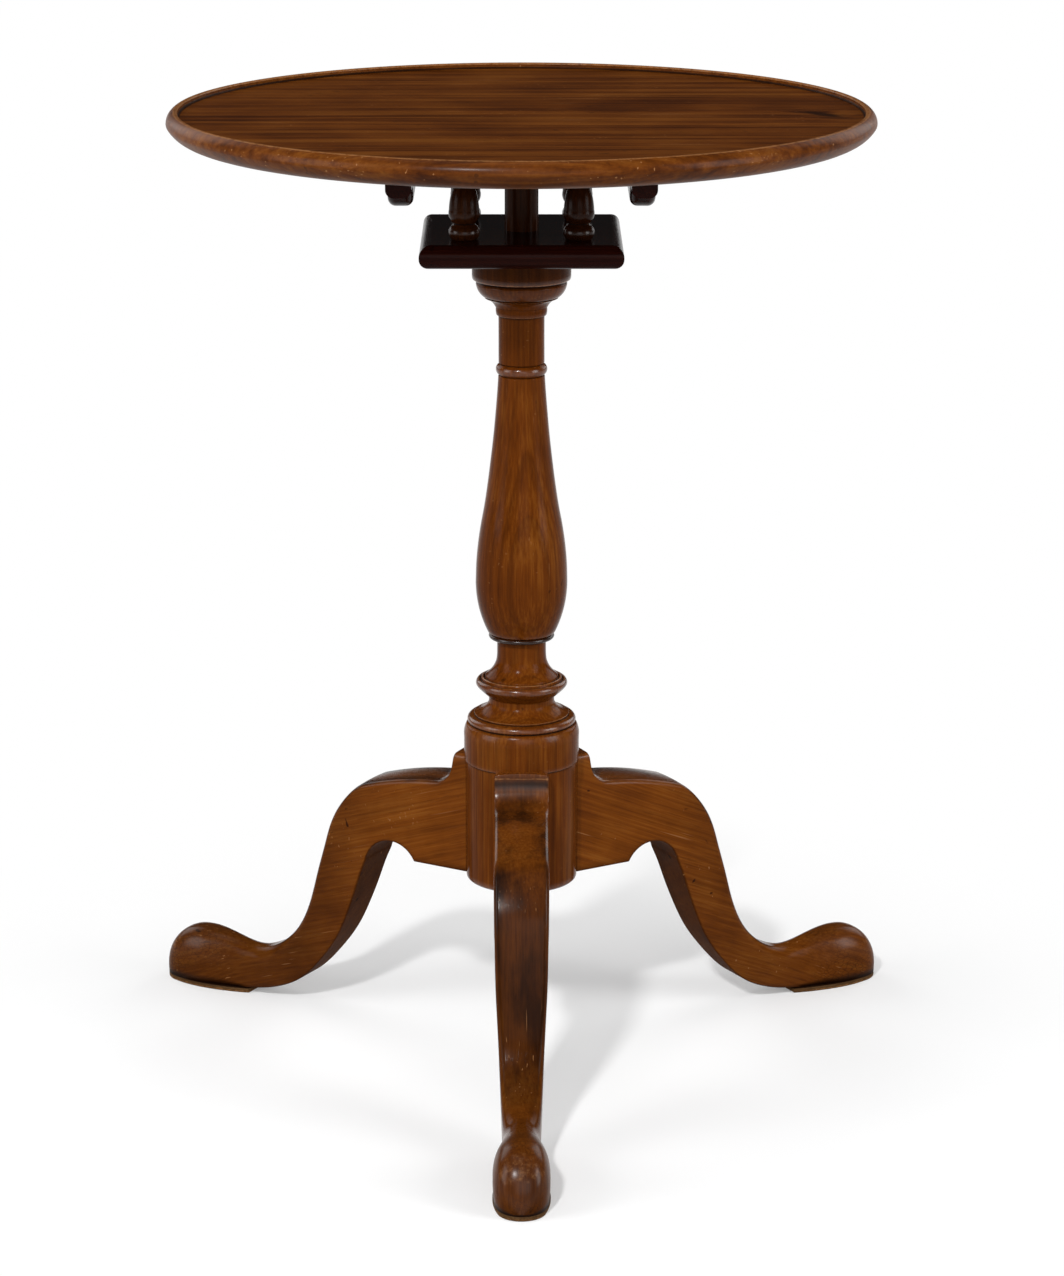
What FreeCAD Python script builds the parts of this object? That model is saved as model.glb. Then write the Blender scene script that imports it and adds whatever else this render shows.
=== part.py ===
import FreeCAD, Part
import math
import os

# Tilt-top candle stand: a dished round top that tilts on a turning cage, a turned column and three legs.
# Millimetres, +Z up. The origin is on the floor under the column's axis, and the front leg points to -Y.

# Heights, from the floor upwards
column_lift = 137.5
column_height = 476.5
block_thickness = 17.0
cage_gap = 51.2
top_thickness = 19.8

# Top
top_radius = 254.0
tray_depth = 4.5
rim_crest_inset = 6.0
rim_bead_width = 2.6
rim_bead_drop = 1.2
rim_cove_width = 1.6
rim_swell = 1.9
rim_bead_swell = 0.5
rim_hollow = 0.9
edge_drop = 9.4
edge_swell = 4.3
underside_inset = 24.0

# Column, turned members from the lower end upwards, and from the shoulder downwards
barrel_radius = 41.6
barrel_height = 93.5
barrel_edge = 3.0
quirk = 0.7
band_radius = 42.9
band_height = 17.0
round_height = 12.2
round_swell = 0.9
bead_radius = 41.3
bead_height = 6.5
bead_swell = 1.1
slope_radius = 36.6
slope_height = 9.6
slope_hollow = 2.0
waist_radius = 24.3
waist_height = 4.0
torus_radius = 33.6
torus_height = 14.7
torus_crown_height = 8.5
torus_swell = 0.2
torus_crown_swell = 2.0
torus_top_radius = 31.0
scotia_radius = 18.2
scotia_height = 16.9
scotia_hollow = 2.9
stem_height = 13.4
vase_foot_radius = 23.5
vase_foot_height = 3.9
vase_foot_swell = 1.2
vase_base_radius = 25.4
vase_radius = 33.9
vase_belly_height = 44.8
vase_belly_swell = 2.9
vase_shoulder_radius = 27.7
vase_shoulder_height = 49.6
vase_shoulder_swell = 1.2
vase_neck_radius = 17.1
vase_neck_hollow = 1.2
ring_radius = 18.9
ring_height = 9.0
neck_radius = 16.8
neck_height = 35.8
astragal_radius = 18.5
astragal_height = 6.2
astragal_swell = 0.3
capital_cove_radius = 27.2
capital_cove_height = 7.2
capital_cove_hollow = 1.0
echinus_radius = 33.2
echinus_height = 10.0
echinus_swell = 1.1
fillet_height = 2.6
abacus_radius = 36.0
abacus_height = 19.2
abacus_edge = 1.5

# Post on the column, its sleeve collar and the wedge key through it
post_radius = 8.5
post_end_gap = 1.0
collar_radius = 12.2
collar_height = 32.0
key_width = 6.0
key_head_height = 9.0
key_tip_height = 7.4
key_head_reach = 31.0
key_tip_reach = 27.0
key_seat_drop = 1.5

# Cage
block_width = 145.0
block_edge = 8.0
pillar_spacing = 81.6
pillar_foot_radius = 8.4
pillar_bead_height = 10.2
pillar_bead_swell = 2.7
pillar_groove_radius = 7.6
pillar_groove_height = 1.4
pillar_belly_radius = 10.8
pillar_belly_height = 9.6
pillar_belly_swell = 1.5
pillar_shoulder_swell = 0.9
pillar_neck_radius = 6.6
pillar_throat_height = 4.2
pillar_neck_hollow = 0.3
pillar_head_radius = 7.4
pillar_head_height = 6.4
pillar_head_swell = 1.6
tenon_radius = 5.0
tenon_shy = 0.3
wedge_inset = 0.8
wedge_thickness = 1.5
wedge_depth = 11.0

# Pintles on the upper block, and the cleats that turn on them
pintle_radius = 5.2
pintle_length = 13.0
nose_clearance = 0.3
cleat_gap = 1.0
cleat_width = 17.5
cleat_depth = 26.0
cleat_length = 410.0
cleat_end_depth = 12.0
cleat_end_run = 22.0
cleat_ramp_run = 34.0
cleat_edge = 5.5
cleat_screw_pitch = 130.0

# Slide bolt under the top, and its strike in the upper block
bolt_width = 12.0
bolt_height = 5.0
bolt_length = 38.0
bolt_travel = 8.0
bolt_throat = 3.0
bolt_bevel = 2.5
bolt_rest_gap = 0.4
bolt_knob_radius = 3.5
bolt_knob_length = 7.0
bolt_knob_stem = 2.0
case_wall = 2.0
case_length = 44.0
case_gap = 3.0
case_flange = 9.0
strike_width = 34.0
strike_height = 9.5
strike_thickness = 1.4
strike_depth = 10.0

# Legs: the head stands on the column, its heights from the column's lower end and its reaches from the
# barrel. The sections from the head to the ankle are in shares: an outer and an inner point along the run
# from the head to the toe and the rise from the sole to the head, then the taper from the leg's width to
# the ankle's, and the growth from the arris to the ankle's rounding.
leg_width = 40.0
leg_head_reach = 130.0
leg_head_rise = 56.8
leg_under_back = 4.6
leg_under_rise = 1.5
ankle_width = 27.4
ankle_rounding = 11.5
leg_sections = [
    ((0.125, 0.867), (-0.013, 0.680), 0.02, 0.14),
    ((0.181, 0.725), (0.009, 0.628), 0.10, 0.23),
    ((0.220, 0.597), (0.041, 0.539), 0.18, 0.31),
    ((0.254, 0.483), (0.085, 0.426), 0.34, 0.41),
    ((0.289, 0.393), (0.137, 0.318), 0.50, 0.50),
    ((0.349, 0.297), (0.222, 0.200), 0.67, 0.62),
    ((0.446, 0.215), (0.335, 0.089), 0.85, 0.82),
    ((0.552, 0.179), (0.495, 0.021), 1.00, 1.00),
]
leg_arris = 1.2
bracket_rise = 2.5
lip_step = 5.9
lip_rise = 95.0
lip_height = 3.0
cove_step = 24.4
cove_rise = 69.9
cove_hollow = 5.6
head_crown = 1.9
cusp_step = 42.1
arch_hollow_share = 0.317

# Slipper feet on their soles
foot_reach = 324.0
foot_height = 45.5
foot_width = 41.2
ball_run = 37.0
heel_run = 66.0
heel_width = 30.0
heel_height = 41.2
toe_start_reach_share = 0.52
toe_start_height_share = 0.86
toe_start_width_share = 0.94
toe_turn_reach_share = 0.84
toe_turn_height_share = 0.59
toe_turn_width_share = 0.69
toe_height = 12.5
toe_width = 14.0
foot_rounding_share = 0.44
sole_thickness = 4.0
sole_run = 81.0
sole_heel_width = 24.0
sole_inset = 0.5
sole_heel_swell = 1.7
sole_side_swell = 0.8
sole_toe_run = 13.5
sole_toe_width = 34.0
pin_radius = 1.0
pin_length = 14.0
pin_recess = 0.6

# Dovetails between the legs and the column
dovetail_depth = 17.0
dovetail_mouth = 15.0
dovetail_root = 22.0
dovetail_rise = 84.5
dovetail_lap = 3.0

# Screws
screw_radius = 2.0
screw_head_radius = 4.0
screw_head_height = 2.6
screw_slot = 0.8
cleat_screw_sink = 7.0
cleat_screw_bite = 11.0
small_screw_radius = 1.2
small_screw_head_radius = 2.4
small_screw_head_height = 1.0
small_screw_length = 9.0

# Fits
running_clearance = 0.08
slide_clearance = 0.1
fit_clearance = 0.05
join_tolerance = 0.03

# Levels worked out from the sizes above
shoulder_z = column_lift + column_height
lower_top_z = shoulder_z + block_thickness
upper_bottom_z = lower_top_z + cage_gap
underside_z = upper_bottom_z + block_thickness
crest_z = underside_z + top_thickness
tray_z = crest_z - tray_depth
collar_top_z = lower_top_z + collar_height
block_half = block_width / 2
pivot_drop = block_thickness / 2
pivot_y = -block_half + pivot_drop
pivot_z = underside_z - pivot_drop
nose_radius = pivot_drop - nose_clearance
cleat_middle_x = block_half + cleat_gap + cleat_width / 2
bolt_z = underside_z - bolt_throat - bolt_height
bolt_nose_y = block_half + bolt_rest_gap
bolt_knob_y = bolt_nose_y + bolt_length / 2
bolt_knob_z = bolt_z - slide_clearance - case_wall - bolt_knob_length
strike_z = bolt_z + bolt_height / 2
case_front_y = block_half + case_gap
head_top_z = column_lift + leg_head_rise
bracket_z = column_lift + bracket_rise
dovetail_top_z = column_lift + dovetail_rise
foot_ball = foot_reach - ball_run
foot_heel = foot_reach - heel_run
sole_tip = foot_reach - sole_inset
sole_toe_start = sole_tip - sole_toe_run
leg_angles_deg = {"front": 0.0, "right": 120.0, "left": 240.0}
axis_z = FreeCAD.Vector(0, 0, 1)
origin = FreeCAD.Vector(0, 0, 0)


def point(r, z):
    """A point of a drawing in the plane of X and Z."""
    return FreeCAD.Vector(r, 0, z)


def bow(start, end, bulge):
    """An arc from start to end that stands bulge to the right of the way, or a line where bulge is 0."""
    if bulge == 0:
        return Part.LineSegment(start, end).toShape()
    way = end - start
    right = FreeCAD.Vector(way.z, 0, -way.x) / way.Length
    middle = (start + end) / 2 + right * bulge
    return Part.Arc(start, middle, end).toShape()


def drawing(corners):
    """A face from corners (r, z, bulge of the edge that follows), drawn counter-clockwise."""
    edges = []
    for index, corner in enumerate(corners):
        after = corners[(index + 1) % len(corners)]
        edges.append(bow(point(corner[0], corner[1]), point(after[0], after[1]), corner[2]))
    return Part.Face(Part.Wire(edges))


def turned(corners):
    """A solid turned around the Z axis."""
    return drawing(corners).revolve(origin, axis_z, 360)


def sawn(corners, width):
    """A solid sawn from a board of this width, which lies along the plane of X and Z."""
    face = drawing(corners).translated(FreeCAD.Vector(0, -width / 2, 0))
    return face.extrude(FreeCAD.Vector(0, width, 0))


def sawn_along_x(corners, width):
    """A solid sawn from a drawing in the plane of Y and Z, with this width along X."""
    return sawn(corners, width).rotated(origin, axis_z, 90)


def box(x0, x1, y0, y1, z0, z1):
    return Part.makeBox(x1 - x0, y1 - y0, z1 - z0, FreeCAD.Vector(x0, y0, z0))


def rod(radius, start, end):
    start = FreeCAD.Vector(*start)
    way = FreeCAD.Vector(*end) - start
    return Part.makeCylinder(radius, way.Length, start, way)


def upright_rod(radius, x, y, low, high):
    return rod(radius, (x, y, low), (x, y, high))


def around_axis(shape, turn):
    """A copy of what was made along +X, turned about the column's axis: turn 0 is the front."""
    return shape.rotated(origin, axis_z, turn - 90)


def slotted_screw(radius, head_radius, head_height, length):
    """A countersunk screw that points to +Z, with its slotted head's face at height 0."""
    screw = turned([
        (0, 0, 0),
        (head_radius, 0, 0),
        (head_radius, head_height / 3, 0),
        (radius, head_height, 0),
        (radius, length - 2 * radius, 0),
        (0, length, 0),
    ])
    slot = box(-head_radius, head_radius, -screw_slot / 2, screw_slot / 2, 0, head_height / 2)
    return screw.cut(slot)


def dish_top():
    """The round board: flat underside, rounded edge, raised rim and a shallow tray."""
    crest_radius = top_radius - rim_crest_inset
    bead_radius_inside = crest_radius - rim_bead_width
    board = turned([
        (0, underside_z, 0),
        (top_radius - underside_inset, underside_z, edge_swell),
        (top_radius, crest_z - edge_drop, rim_swell),
        (crest_radius, crest_z, rim_bead_swell),
        (bead_radius_inside, crest_z - rim_bead_drop, -rim_hollow),
        (bead_radius_inside - rim_cove_width, tray_z, 0),
        (0, tray_z, 0),
    ])
    for x, y in cleat_screw_places():
        hole = upright_rod(screw_radius + fit_clearance, x, y, underside_z, underside_z + cleat_screw_bite)
        board = board.cut(hole)
    for x, y in case_screw_places():
        hole_end = underside_z + small_screw_length - case_wall
        board = board.cut(upright_rod(small_screw_radius + fit_clearance, x, y, underside_z, hole_end))
    return board


def cleat():
    """The right batten along Y, with lowered ends and rounded lower edges, bored for its pintle."""
    half = cleat_length / 2
    low_z = underside_z - cleat_depth
    end_z = underside_z - cleat_end_depth
    rise = end_z - low_z
    flat = half - cleat_end_run
    full = flat - cleat_ramp_run
    middle = (flat + full) / 2
    half_ramp = math.hypot(cleat_ramp_run, rise) / 2
    ramp_bulge = half_ramp / 2 * math.tan(math.atan2(rise, cleat_ramp_run) / 2)
    batten = sawn_along_x([
        (-half, end_z, 0),
        (-flat, end_z, -ramp_bulge),
        (-middle, end_z - rise / 2, ramp_bulge),
        (-full, low_z, 0),
        (full, low_z, ramp_bulge),
        (middle, end_z - rise / 2, -ramp_bulge),
        (flat, end_z, 0),
        (half, end_z, 0),
        (half, underside_z, 0),
        (-half, underside_z, 0),
    ], cleat_width)
    lower_edges = []
    for edge in batten.Edges:
        along = edge.BoundBox.YLength > cleat_edge
        below = edge.BoundBox.ZMin < underside_z - cleat_edge
        if along and below:
            lower_edges.append(edge)
    batten = batten.makeFillet(cleat_edge, lower_edges)
    batten = batten.translated(FreeCAD.Vector(cleat_middle_x, 0, 0))
    bore_radius = pintle_radius + running_clearance
    bore_end = block_half + pintle_length + cleat_gap
    batten = batten.cut(rod(bore_radius, (0, pivot_y, pivot_z), (bore_end, pivot_y, pivot_z)))
    head_z = low_z + cleat_screw_sink + screw_head_height
    for x, y in cleat_screw_places():
        batten = batten.cut(upright_rod(screw_radius + fit_clearance, x, y, low_z, underside_z))
        batten = batten.cut(upright_rod(screw_head_radius + fit_clearance, x, y, low_z, head_z))
    return batten


def cleat_screw_places():
    rows = (-cleat_screw_pitch, 0, cleat_screw_pitch)
    return [(side * cleat_middle_x, y) for side in (-1, 1) for y in rows]


def cleat_screws():
    head_z = underside_z - cleat_depth + cleat_screw_sink
    length = underside_z + cleat_screw_bite - head_z
    screw = slotted_screw(screw_radius, screw_head_radius, screw_head_height, length)
    return [screw.translated(FreeCAD.Vector(x, y, head_z)) for x, y in cleat_screw_places()]


def pillar_places():
    half = pillar_spacing / 2
    return {
        "front_left": (-half, -half),
        "front_right": (half, -half),
        "back_left": (-half, half),
        "back_right": (half, half),
    }


def bored(block):
    """A block of the cage with its holes for the post and the pillars' tenons."""
    block = block.cut(upright_rod(post_radius + running_clearance, 0, 0, shoulder_z, underside_z))
    for x, y in pillar_places().values():
        block = block.cut(upright_rod(tenon_radius + fit_clearance, x, y, shoulder_z, underside_z))
    return block


def lower_block():
    """The square plate that turns on the column's shoulder, with a rounded nosing all round."""
    block = box(-block_half, block_half, -block_half, block_half, shoulder_z, lower_top_z)
    radius = min(block_edge, block_thickness / 2 - fit_clearance)
    nosing = [edge for edge in block.Edges if edge.BoundBox.ZLength < radius]
    return bored(block.makeFillet(radius, nosing))


def upper_block():
    """The plate under the top, with two pintles on its half-round front edge and a flat back edge."""
    block = sawn_along_x([
        (pivot_y, pivot_z - nose_radius, 0),
        (pivot_y + nose_clearance, upper_bottom_z, 0),
        (block_half, upper_bottom_z, 0),
        (block_half, underside_z, 0),
        (pivot_y + nose_clearance, underside_z, 0),
        (pivot_y, pivot_z + nose_radius, nose_radius),
    ], block_width)
    pintle_end = block_half + pintle_length
    pintles = rod(pintle_radius, (-pintle_end, pivot_y, pivot_z), (pintle_end, pivot_y, pivot_z))
    block = bored(block.fuse(pintles).removeSplitter())
    half = strike_width / 2 + fit_clearance
    tall = strike_height / 2 + fit_clearance
    seat_y = block_half - strike_thickness
    block = block.cut(box(-half, half, seat_y, block_half, strike_z - tall, strike_z + tall))
    block = block.cut(bolt_way(block_half - strike_depth, block_half))
    hole_radius = small_screw_radius + fit_clearance
    hole_y = block_half - small_screw_length
    for x in strike_screw_places():
        block = block.cut(rod(hole_radius, (x, hole_y, strike_z), (x, block_half, strike_z)))
    return block


def pillar():
    """One turned pillar of the cage with a slotted tenon at each end, made on the Z axis."""
    bead_z = lower_top_z + pillar_bead_height
    groove_z = bead_z + pillar_groove_height
    belly_z = groove_z + pillar_belly_height
    head_z = upper_bottom_z - pillar_head_height
    neck_z = head_z - pillar_throat_height
    low_end = shoulder_z + tenon_shy
    high_end = underside_z - tenon_shy
    blank = turned([
        (0, low_end, 0),
        (tenon_radius, low_end, 0),
        (tenon_radius, lower_top_z, 0),
        (pillar_foot_radius, lower_top_z, pillar_bead_swell),
        (pillar_foot_radius, bead_z, 0),
        (pillar_groove_radius, groove_z, pillar_belly_swell),
        (pillar_belly_radius, belly_z, pillar_shoulder_swell),
        (pillar_neck_radius, neck_z, -pillar_neck_hollow),
        (pillar_head_radius, head_z, pillar_head_swell),
        (pillar_head_radius, upper_bottom_z, 0),
        (tenon_radius, upper_bottom_z, 0),
        (tenon_radius, high_end, 0),
        (0, high_end, 0),
    ])
    for wedge in tenon_wedges():
        blank = blank.cut(wedge)
    return blank


def tenon_wedges():
    """The two wedges that spread one pillar's tenons, made on the Z axis."""
    half = tenon_radius - wedge_inset
    thin = wedge_thickness / 2
    low_end = shoulder_z + tenon_shy
    high_end = underside_z - tenon_shy
    low = box(-half, half, -thin, thin, low_end, low_end + wedge_depth)
    high = box(-half, half, -thin, thin, high_end - wedge_depth, high_end)
    return [low, high]


def round_column():
    """The turned column with its post, before the sockets and the mortise are cut."""
    band_z = column_lift + barrel_height
    round_z = band_z + band_height
    bead_z = round_z + round_height
    slope_z = bead_z + bead_height
    waist_z = slope_z + slope_height
    torus_z = waist_z + waist_height
    scotia_z = torus_z + torus_height
    stem_z = scotia_z + scotia_height
    foot_z = stem_z + stem_height
    vase_z = foot_z + vase_foot_height
    belly_z = vase_z + vase_belly_height
    upper_z = belly_z + vase_shoulder_height
    abacus_z = shoulder_z - abacus_height
    fillet_z = abacus_z - fillet_height
    echinus_z = fillet_z - echinus_height
    cove_z = echinus_z - capital_cove_height
    astragal_z = cove_z - astragal_height
    neck_z = astragal_z - neck_height
    ring_z = neck_z - ring_height
    post_z = underside_z - post_end_gap
    quarter = 1 - math.sqrt(0.5)
    return turned([
        (0, column_lift, 0),
        (barrel_radius - barrel_edge, column_lift, barrel_edge * quarter),
        (barrel_radius, column_lift + barrel_edge, 0),
        (barrel_radius, band_z, 0),
        (band_radius, band_z, 0),
        (band_radius, round_z, round_swell),
        (bead_radius, bead_z, 0),
        (bead_radius - quirk, bead_z, bead_swell),
        (slope_radius, slope_z, 0),
        (slope_radius - quirk, slope_z, -slope_hollow),
        (waist_radius, waist_z, 0),
        (waist_radius, torus_z, torus_swell),
        (torus_radius, torus_z + torus_crown_height, torus_crown_swell),
        (torus_top_radius, scotia_z, 0),
        (torus_top_radius - quirk, scotia_z, -scotia_hollow),
        (scotia_radius, stem_z, 0),
        (scotia_radius, foot_z, 0),
        (vase_foot_radius, foot_z, vase_foot_swell),
        (vase_foot_radius, vase_z, 0),
        (vase_base_radius, vase_z, vase_belly_swell),
        (vase_radius, belly_z, vase_shoulder_swell),
        (vase_shoulder_radius, upper_z, -vase_neck_hollow),
        (vase_neck_radius, ring_z, ring_radius - vase_neck_radius),
        (neck_radius, neck_z, 0),
        (neck_radius, astragal_z, 0),
        (astragal_radius, astragal_z, astragal_swell),
        (astragal_radius, cove_z, 0),
        (astragal_radius + quirk, cove_z, -capital_cove_hollow),
        (capital_cove_radius, echinus_z, 0),
        (capital_cove_radius + quirk, echinus_z, echinus_swell),
        (echinus_radius, fillet_z, 0),
        (echinus_radius, abacus_z, 0),
        (abacus_radius - abacus_edge, abacus_z, abacus_edge * quarter),
        (abacus_radius, abacus_z + abacus_edge, 0),
        (abacus_radius, shoulder_z, 0),
        (post_radius, shoulder_z, 0),
        (post_radius, post_z, 0),
        (0, post_z, 0),
    ])


def column(blank):
    """The column with its three dovetail sockets and the mortise for the wedge key."""
    for turn in leg_angles_deg.values():
        blank = blank.cut(around_axis(dovetail(column_lift, fit_clearance), turn))
    half = key_width / 2 + slide_clearance
    high = collar_top_z + key_height_at(post_radius) + slide_clearance
    return blank.cut(box(-post_radius, post_radius, -half, half, collar_top_z - key_seat_drop, high))


def collar():
    """The plain sleeve around the post, between the lower block and the wedge key."""
    sleeve = upright_rod(collar_radius, 0, 0, lower_top_z, collar_top_z)
    return sleeve.cut(upright_rod(post_radius + running_clearance, 0, 0, lower_top_z, collar_top_z))


def key_height_at(x):
    """The wedge key's height at x from the post's axis."""
    share = (x + key_tip_reach) / (key_head_reach + key_tip_reach)
    return key_tip_height + (key_head_height - key_tip_height) * share


def wedge_key():
    """The wedge through the post, which bears on the collar and draws out towards +X."""
    return sawn([
        (-key_tip_reach, collar_top_z, 0),
        (key_head_reach, collar_top_z, 0),
        (key_head_reach, collar_top_z + key_head_height, 0),
        (-key_tip_reach, collar_top_z + key_tip_height, 0),
    ], key_width)


def dovetail(low_z, clearance):
    """A leg's tongue along +X inside the column, or its socket with a clearance all round."""
    root_x = barrel_radius - dovetail_depth - clearance
    mouth_x = barrel_radius + dovetail_lap
    spread = (dovetail_root - dovetail_mouth) / dovetail_depth / 2
    root = dovetail_root / 2 + clearance
    mouth = root - spread * (mouth_x - root_x)
    outline = [
        FreeCAD.Vector(root_x, -root, low_z),
        FreeCAD.Vector(mouth_x, -mouth, low_z),
        FreeCAD.Vector(mouth_x, mouth, low_z),
        FreeCAD.Vector(root_x, root, low_z),
    ]
    face = Part.Face(Part.makePolygon(outline + outline[:1]))
    return face.extrude(FreeCAD.Vector(0, 0, dovetail_top_z + clearance - low_z))


def leg_section(outer, inner, width, rounding):
    """A closed section across the leg, square-edged inside and rounded outside."""
    base = point(*inner)
    up = point(*outer) - base
    height = up.Length
    up = up / height
    half = width / 2
    quarter = 1 - math.sqrt(0.5)
    small = leg_arris
    large = rounding

    def place(across, along):
        return base + FreeCAD.Vector(0, across, 0) + up * along

    def run(start, end):
        return Part.LineSegment(place(*start), place(*end)).toShape()

    def corner(start, middle, end):
        return Part.Arc(place(*start), place(*middle), place(*end)).toShape()

    edges = []
    for side in (1, -1):
        wall = side * half
        inset = side * small * quarter
        round_inset = side * large * quarter
        inner_corner = [(wall - side * small, 0), (wall - inset, small * quarter), (wall, small)]
        outer_corner = [
            (wall, height - large),
            (wall - round_inset, height - large * quarter),
            (wall - side * large, height),
        ]
        edges.append((inner_corner, outer_corner))
    (right_inner, right_outer), (left_inner, left_outer) = edges
    return Part.Wire([
        run(left_inner[0], right_inner[0]),
        corner(*right_inner),
        run(right_inner[2], right_outer[0]),
        corner(*right_outer),
        run(right_outer[2], left_outer[2]),
        corner(*reversed(left_outer)),
        run(left_outer[0], left_inner[2]),
        corner(*reversed(left_inner)),
    ])


def foot_sections():
    """Sections of the slipper foot from its heel to its toe, flat on the sole."""
    toe_start = foot_ball + ball_run * toe_start_reach_share
    toe_turn = foot_ball + ball_run * toe_turn_reach_share
    stations = [
        (foot_heel, heel_height, heel_width),
        (foot_ball, foot_height, foot_width),
        (toe_start, foot_height * toe_start_height_share, foot_width * toe_start_width_share),
        (toe_turn, foot_height * toe_turn_height_share, foot_width * toe_turn_width_share),
        (foot_reach, toe_height, toe_width),
    ]
    sections = []
    for reach, height, width in stations:
        rounding = min(width, height - sole_thickness) * foot_rounding_share
        sections.append(((reach, height), (reach, sole_thickness), width, rounding))
    return sections


def leg_point(run_share, rise_share):
    """A point of the leg's outline between its head and the toe."""
    reach = leg_head_reach + run_share * (foot_reach - leg_head_reach)
    height = sole_thickness + rise_share * (head_top_z - sole_thickness)
    return reach, height


def leg(blank_column):
    """One leg along +X: a sawn head with its dovetail, lofted on into the shin, ankle and foot."""
    head_top = (leg_head_reach, head_top_z)
    head_under = (leg_head_reach - leg_under_back, column_lift + leg_under_rise)
    lip_z = column_lift + lip_rise
    cusp = (barrel_radius + cusp_step, bracket_z)
    arch_hollow = arch_hollow_share * math.dist(cusp, head_under)
    head = sawn([
        (0, bracket_z, 0),
        (*cusp, -arch_hollow),
        (*head_under, 0),
        (*head_top, head_crown),
        (barrel_radius + cove_step, column_lift + cove_rise, -cove_hollow),
        (barrel_radius + lip_step, lip_z - lip_height, 0),
        (barrel_radius + lip_step, lip_z, 0),
        (0, lip_z, 0),
    ], leg_width)
    sections = [leg_section(head_top, head_under, leg_width, leg_arris)]
    for outer, inner, taper, growth in leg_sections:
        width = leg_width + taper * (ankle_width - leg_width)
        rounding = leg_arris + growth * (ankle_rounding - leg_arris)
        sections.append(leg_section(leg_point(*outer), leg_point(*inner), width, rounding))
    for station in foot_sections():
        sections.append(leg_section(*station))
    shin = Part.makeLoft(sections, True, False)
    shin = shin.cut(box(0, foot_reach, -leg_width, leg_width, -leg_width, sole_thickness))
    shaped = head.fuse([shin], join_tolerance).cut(blank_column)
    shaped = shaped.fuse(dovetail(bracket_z, 0)).removeSplitter()
    for x in pin_places():
        shaped = shaped.cut(upright_rod(pin_radius + fit_clearance, x, 0, 0, pin_recess + pin_length))
    return shaped


def sole():
    """The thin pear-shaped pad under a foot along +X."""
    ball = foot_width / 2 - sole_inset
    heel = sole_heel_width / 2
    toe = sole_toe_width / 2
    sole_end = foot_reach - sole_run
    face = drawing([
        (sole_end, -heel, sole_heel_swell),
        (foot_ball, -ball, sole_side_swell),
        (sole_toe_start, -toe, sole_toe_run),
        (sole_toe_start, toe, sole_side_swell),
        (foot_ball, ball, sole_heel_swell),
        (sole_end, heel, 0),
    ])
    face = face.rotated(origin, FreeCAD.Vector(1, 0, 0), -90)
    pad = face.extrude(FreeCAD.Vector(0, 0, sole_thickness))
    for x in pin_places():
        pad = pad.cut(upright_rod(pin_radius + fit_clearance, x, 0, 0, sole_thickness))
    return pad


def pin_places():
    return [foot_heel, (foot_ball + foot_reach) / 2]


def sole_pins():
    return [upright_rod(pin_radius, x, 0, pin_recess, pin_recess + pin_length) for x in pin_places()]


def bolt_way(start_y, end_y):
    """The clear way of the slide bolt between two places along Y."""
    half = bolt_width / 2 + slide_clearance
    top_z = bolt_z + bolt_height + slide_clearance
    return box(-half, half, start_y, end_y, bolt_z - slide_clearance, top_z)


def slide_bolt():
    """The bolt along Y with a bevelled nose and a knob below, drawn back from the strike."""
    bar = sawn_along_x([
        (bolt_nose_y + bolt_bevel, bolt_z, 0),
        (bolt_nose_y + bolt_length, bolt_z, 0),
        (bolt_nose_y + bolt_length, bolt_z + bolt_height, 0),
        (bolt_nose_y, bolt_z + bolt_height, 0),
        (bolt_nose_y, bolt_z + bolt_bevel, 0),
    ], bolt_width)
    stem = upright_rod(bolt_knob_stem, 0, bolt_knob_y, bolt_knob_z, bolt_z)
    knob = Part.makeSphere(bolt_knob_radius, FreeCAD.Vector(0, bolt_knob_y, bolt_knob_z))
    return bar.fuse(stem).fuse(knob).removeSplitter()


def case_screw_places():
    x = bolt_width / 2 + slide_clearance + case_wall + case_flange / 2
    front = case_front_y + case_flange / 2
    back = case_front_y + case_length - case_flange / 2
    return [(-x, front), (x, front), (-x, back), (x, back)]


def bolt_case():
    """The brass case screwed under the top: a channel for the bolt with a flange along each side."""
    wide = bolt_width / 2 + slide_clearance + case_wall
    case_z = bolt_z - slide_clearance - case_wall
    flange_z = underside_z - case_wall
    back_y = case_front_y + case_length
    case = box(-wide, wide, case_front_y, back_y, case_z, underside_z)
    flanges = box(-wide - case_flange, wide + case_flange, case_front_y, back_y, flange_z, underside_z)
    case = case.fuse(flanges).removeSplitter()
    case = case.cut(bolt_way(case_front_y, back_y - case_wall))
    slot = bolt_knob_stem + slide_clearance
    slot_start = bolt_knob_y - bolt_travel - slot
    case = case.cut(box(-slot, slot, slot_start, bolt_knob_y + slot, case_z, bolt_z))
    head_z = flange_z + small_screw_head_height
    for x, y in case_screw_places():
        case = case.cut(upright_rod(small_screw_radius + fit_clearance, x, y, flange_z, underside_z))
        case = case.cut(upright_rod(small_screw_head_radius + fit_clearance, x, y, flange_z, head_z))
    return case


def small_screw():
    head = (small_screw_head_radius, small_screw_head_height)
    return slotted_screw(small_screw_radius, *head, small_screw_length)


def bolt_screws():
    head_z = underside_z - case_wall
    return [small_screw().translated(FreeCAD.Vector(x, y, head_z)) for x, y in case_screw_places()]


def strike_screw_places():
    x = (strike_width + bolt_width) / 4
    return [-x, x]


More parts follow.
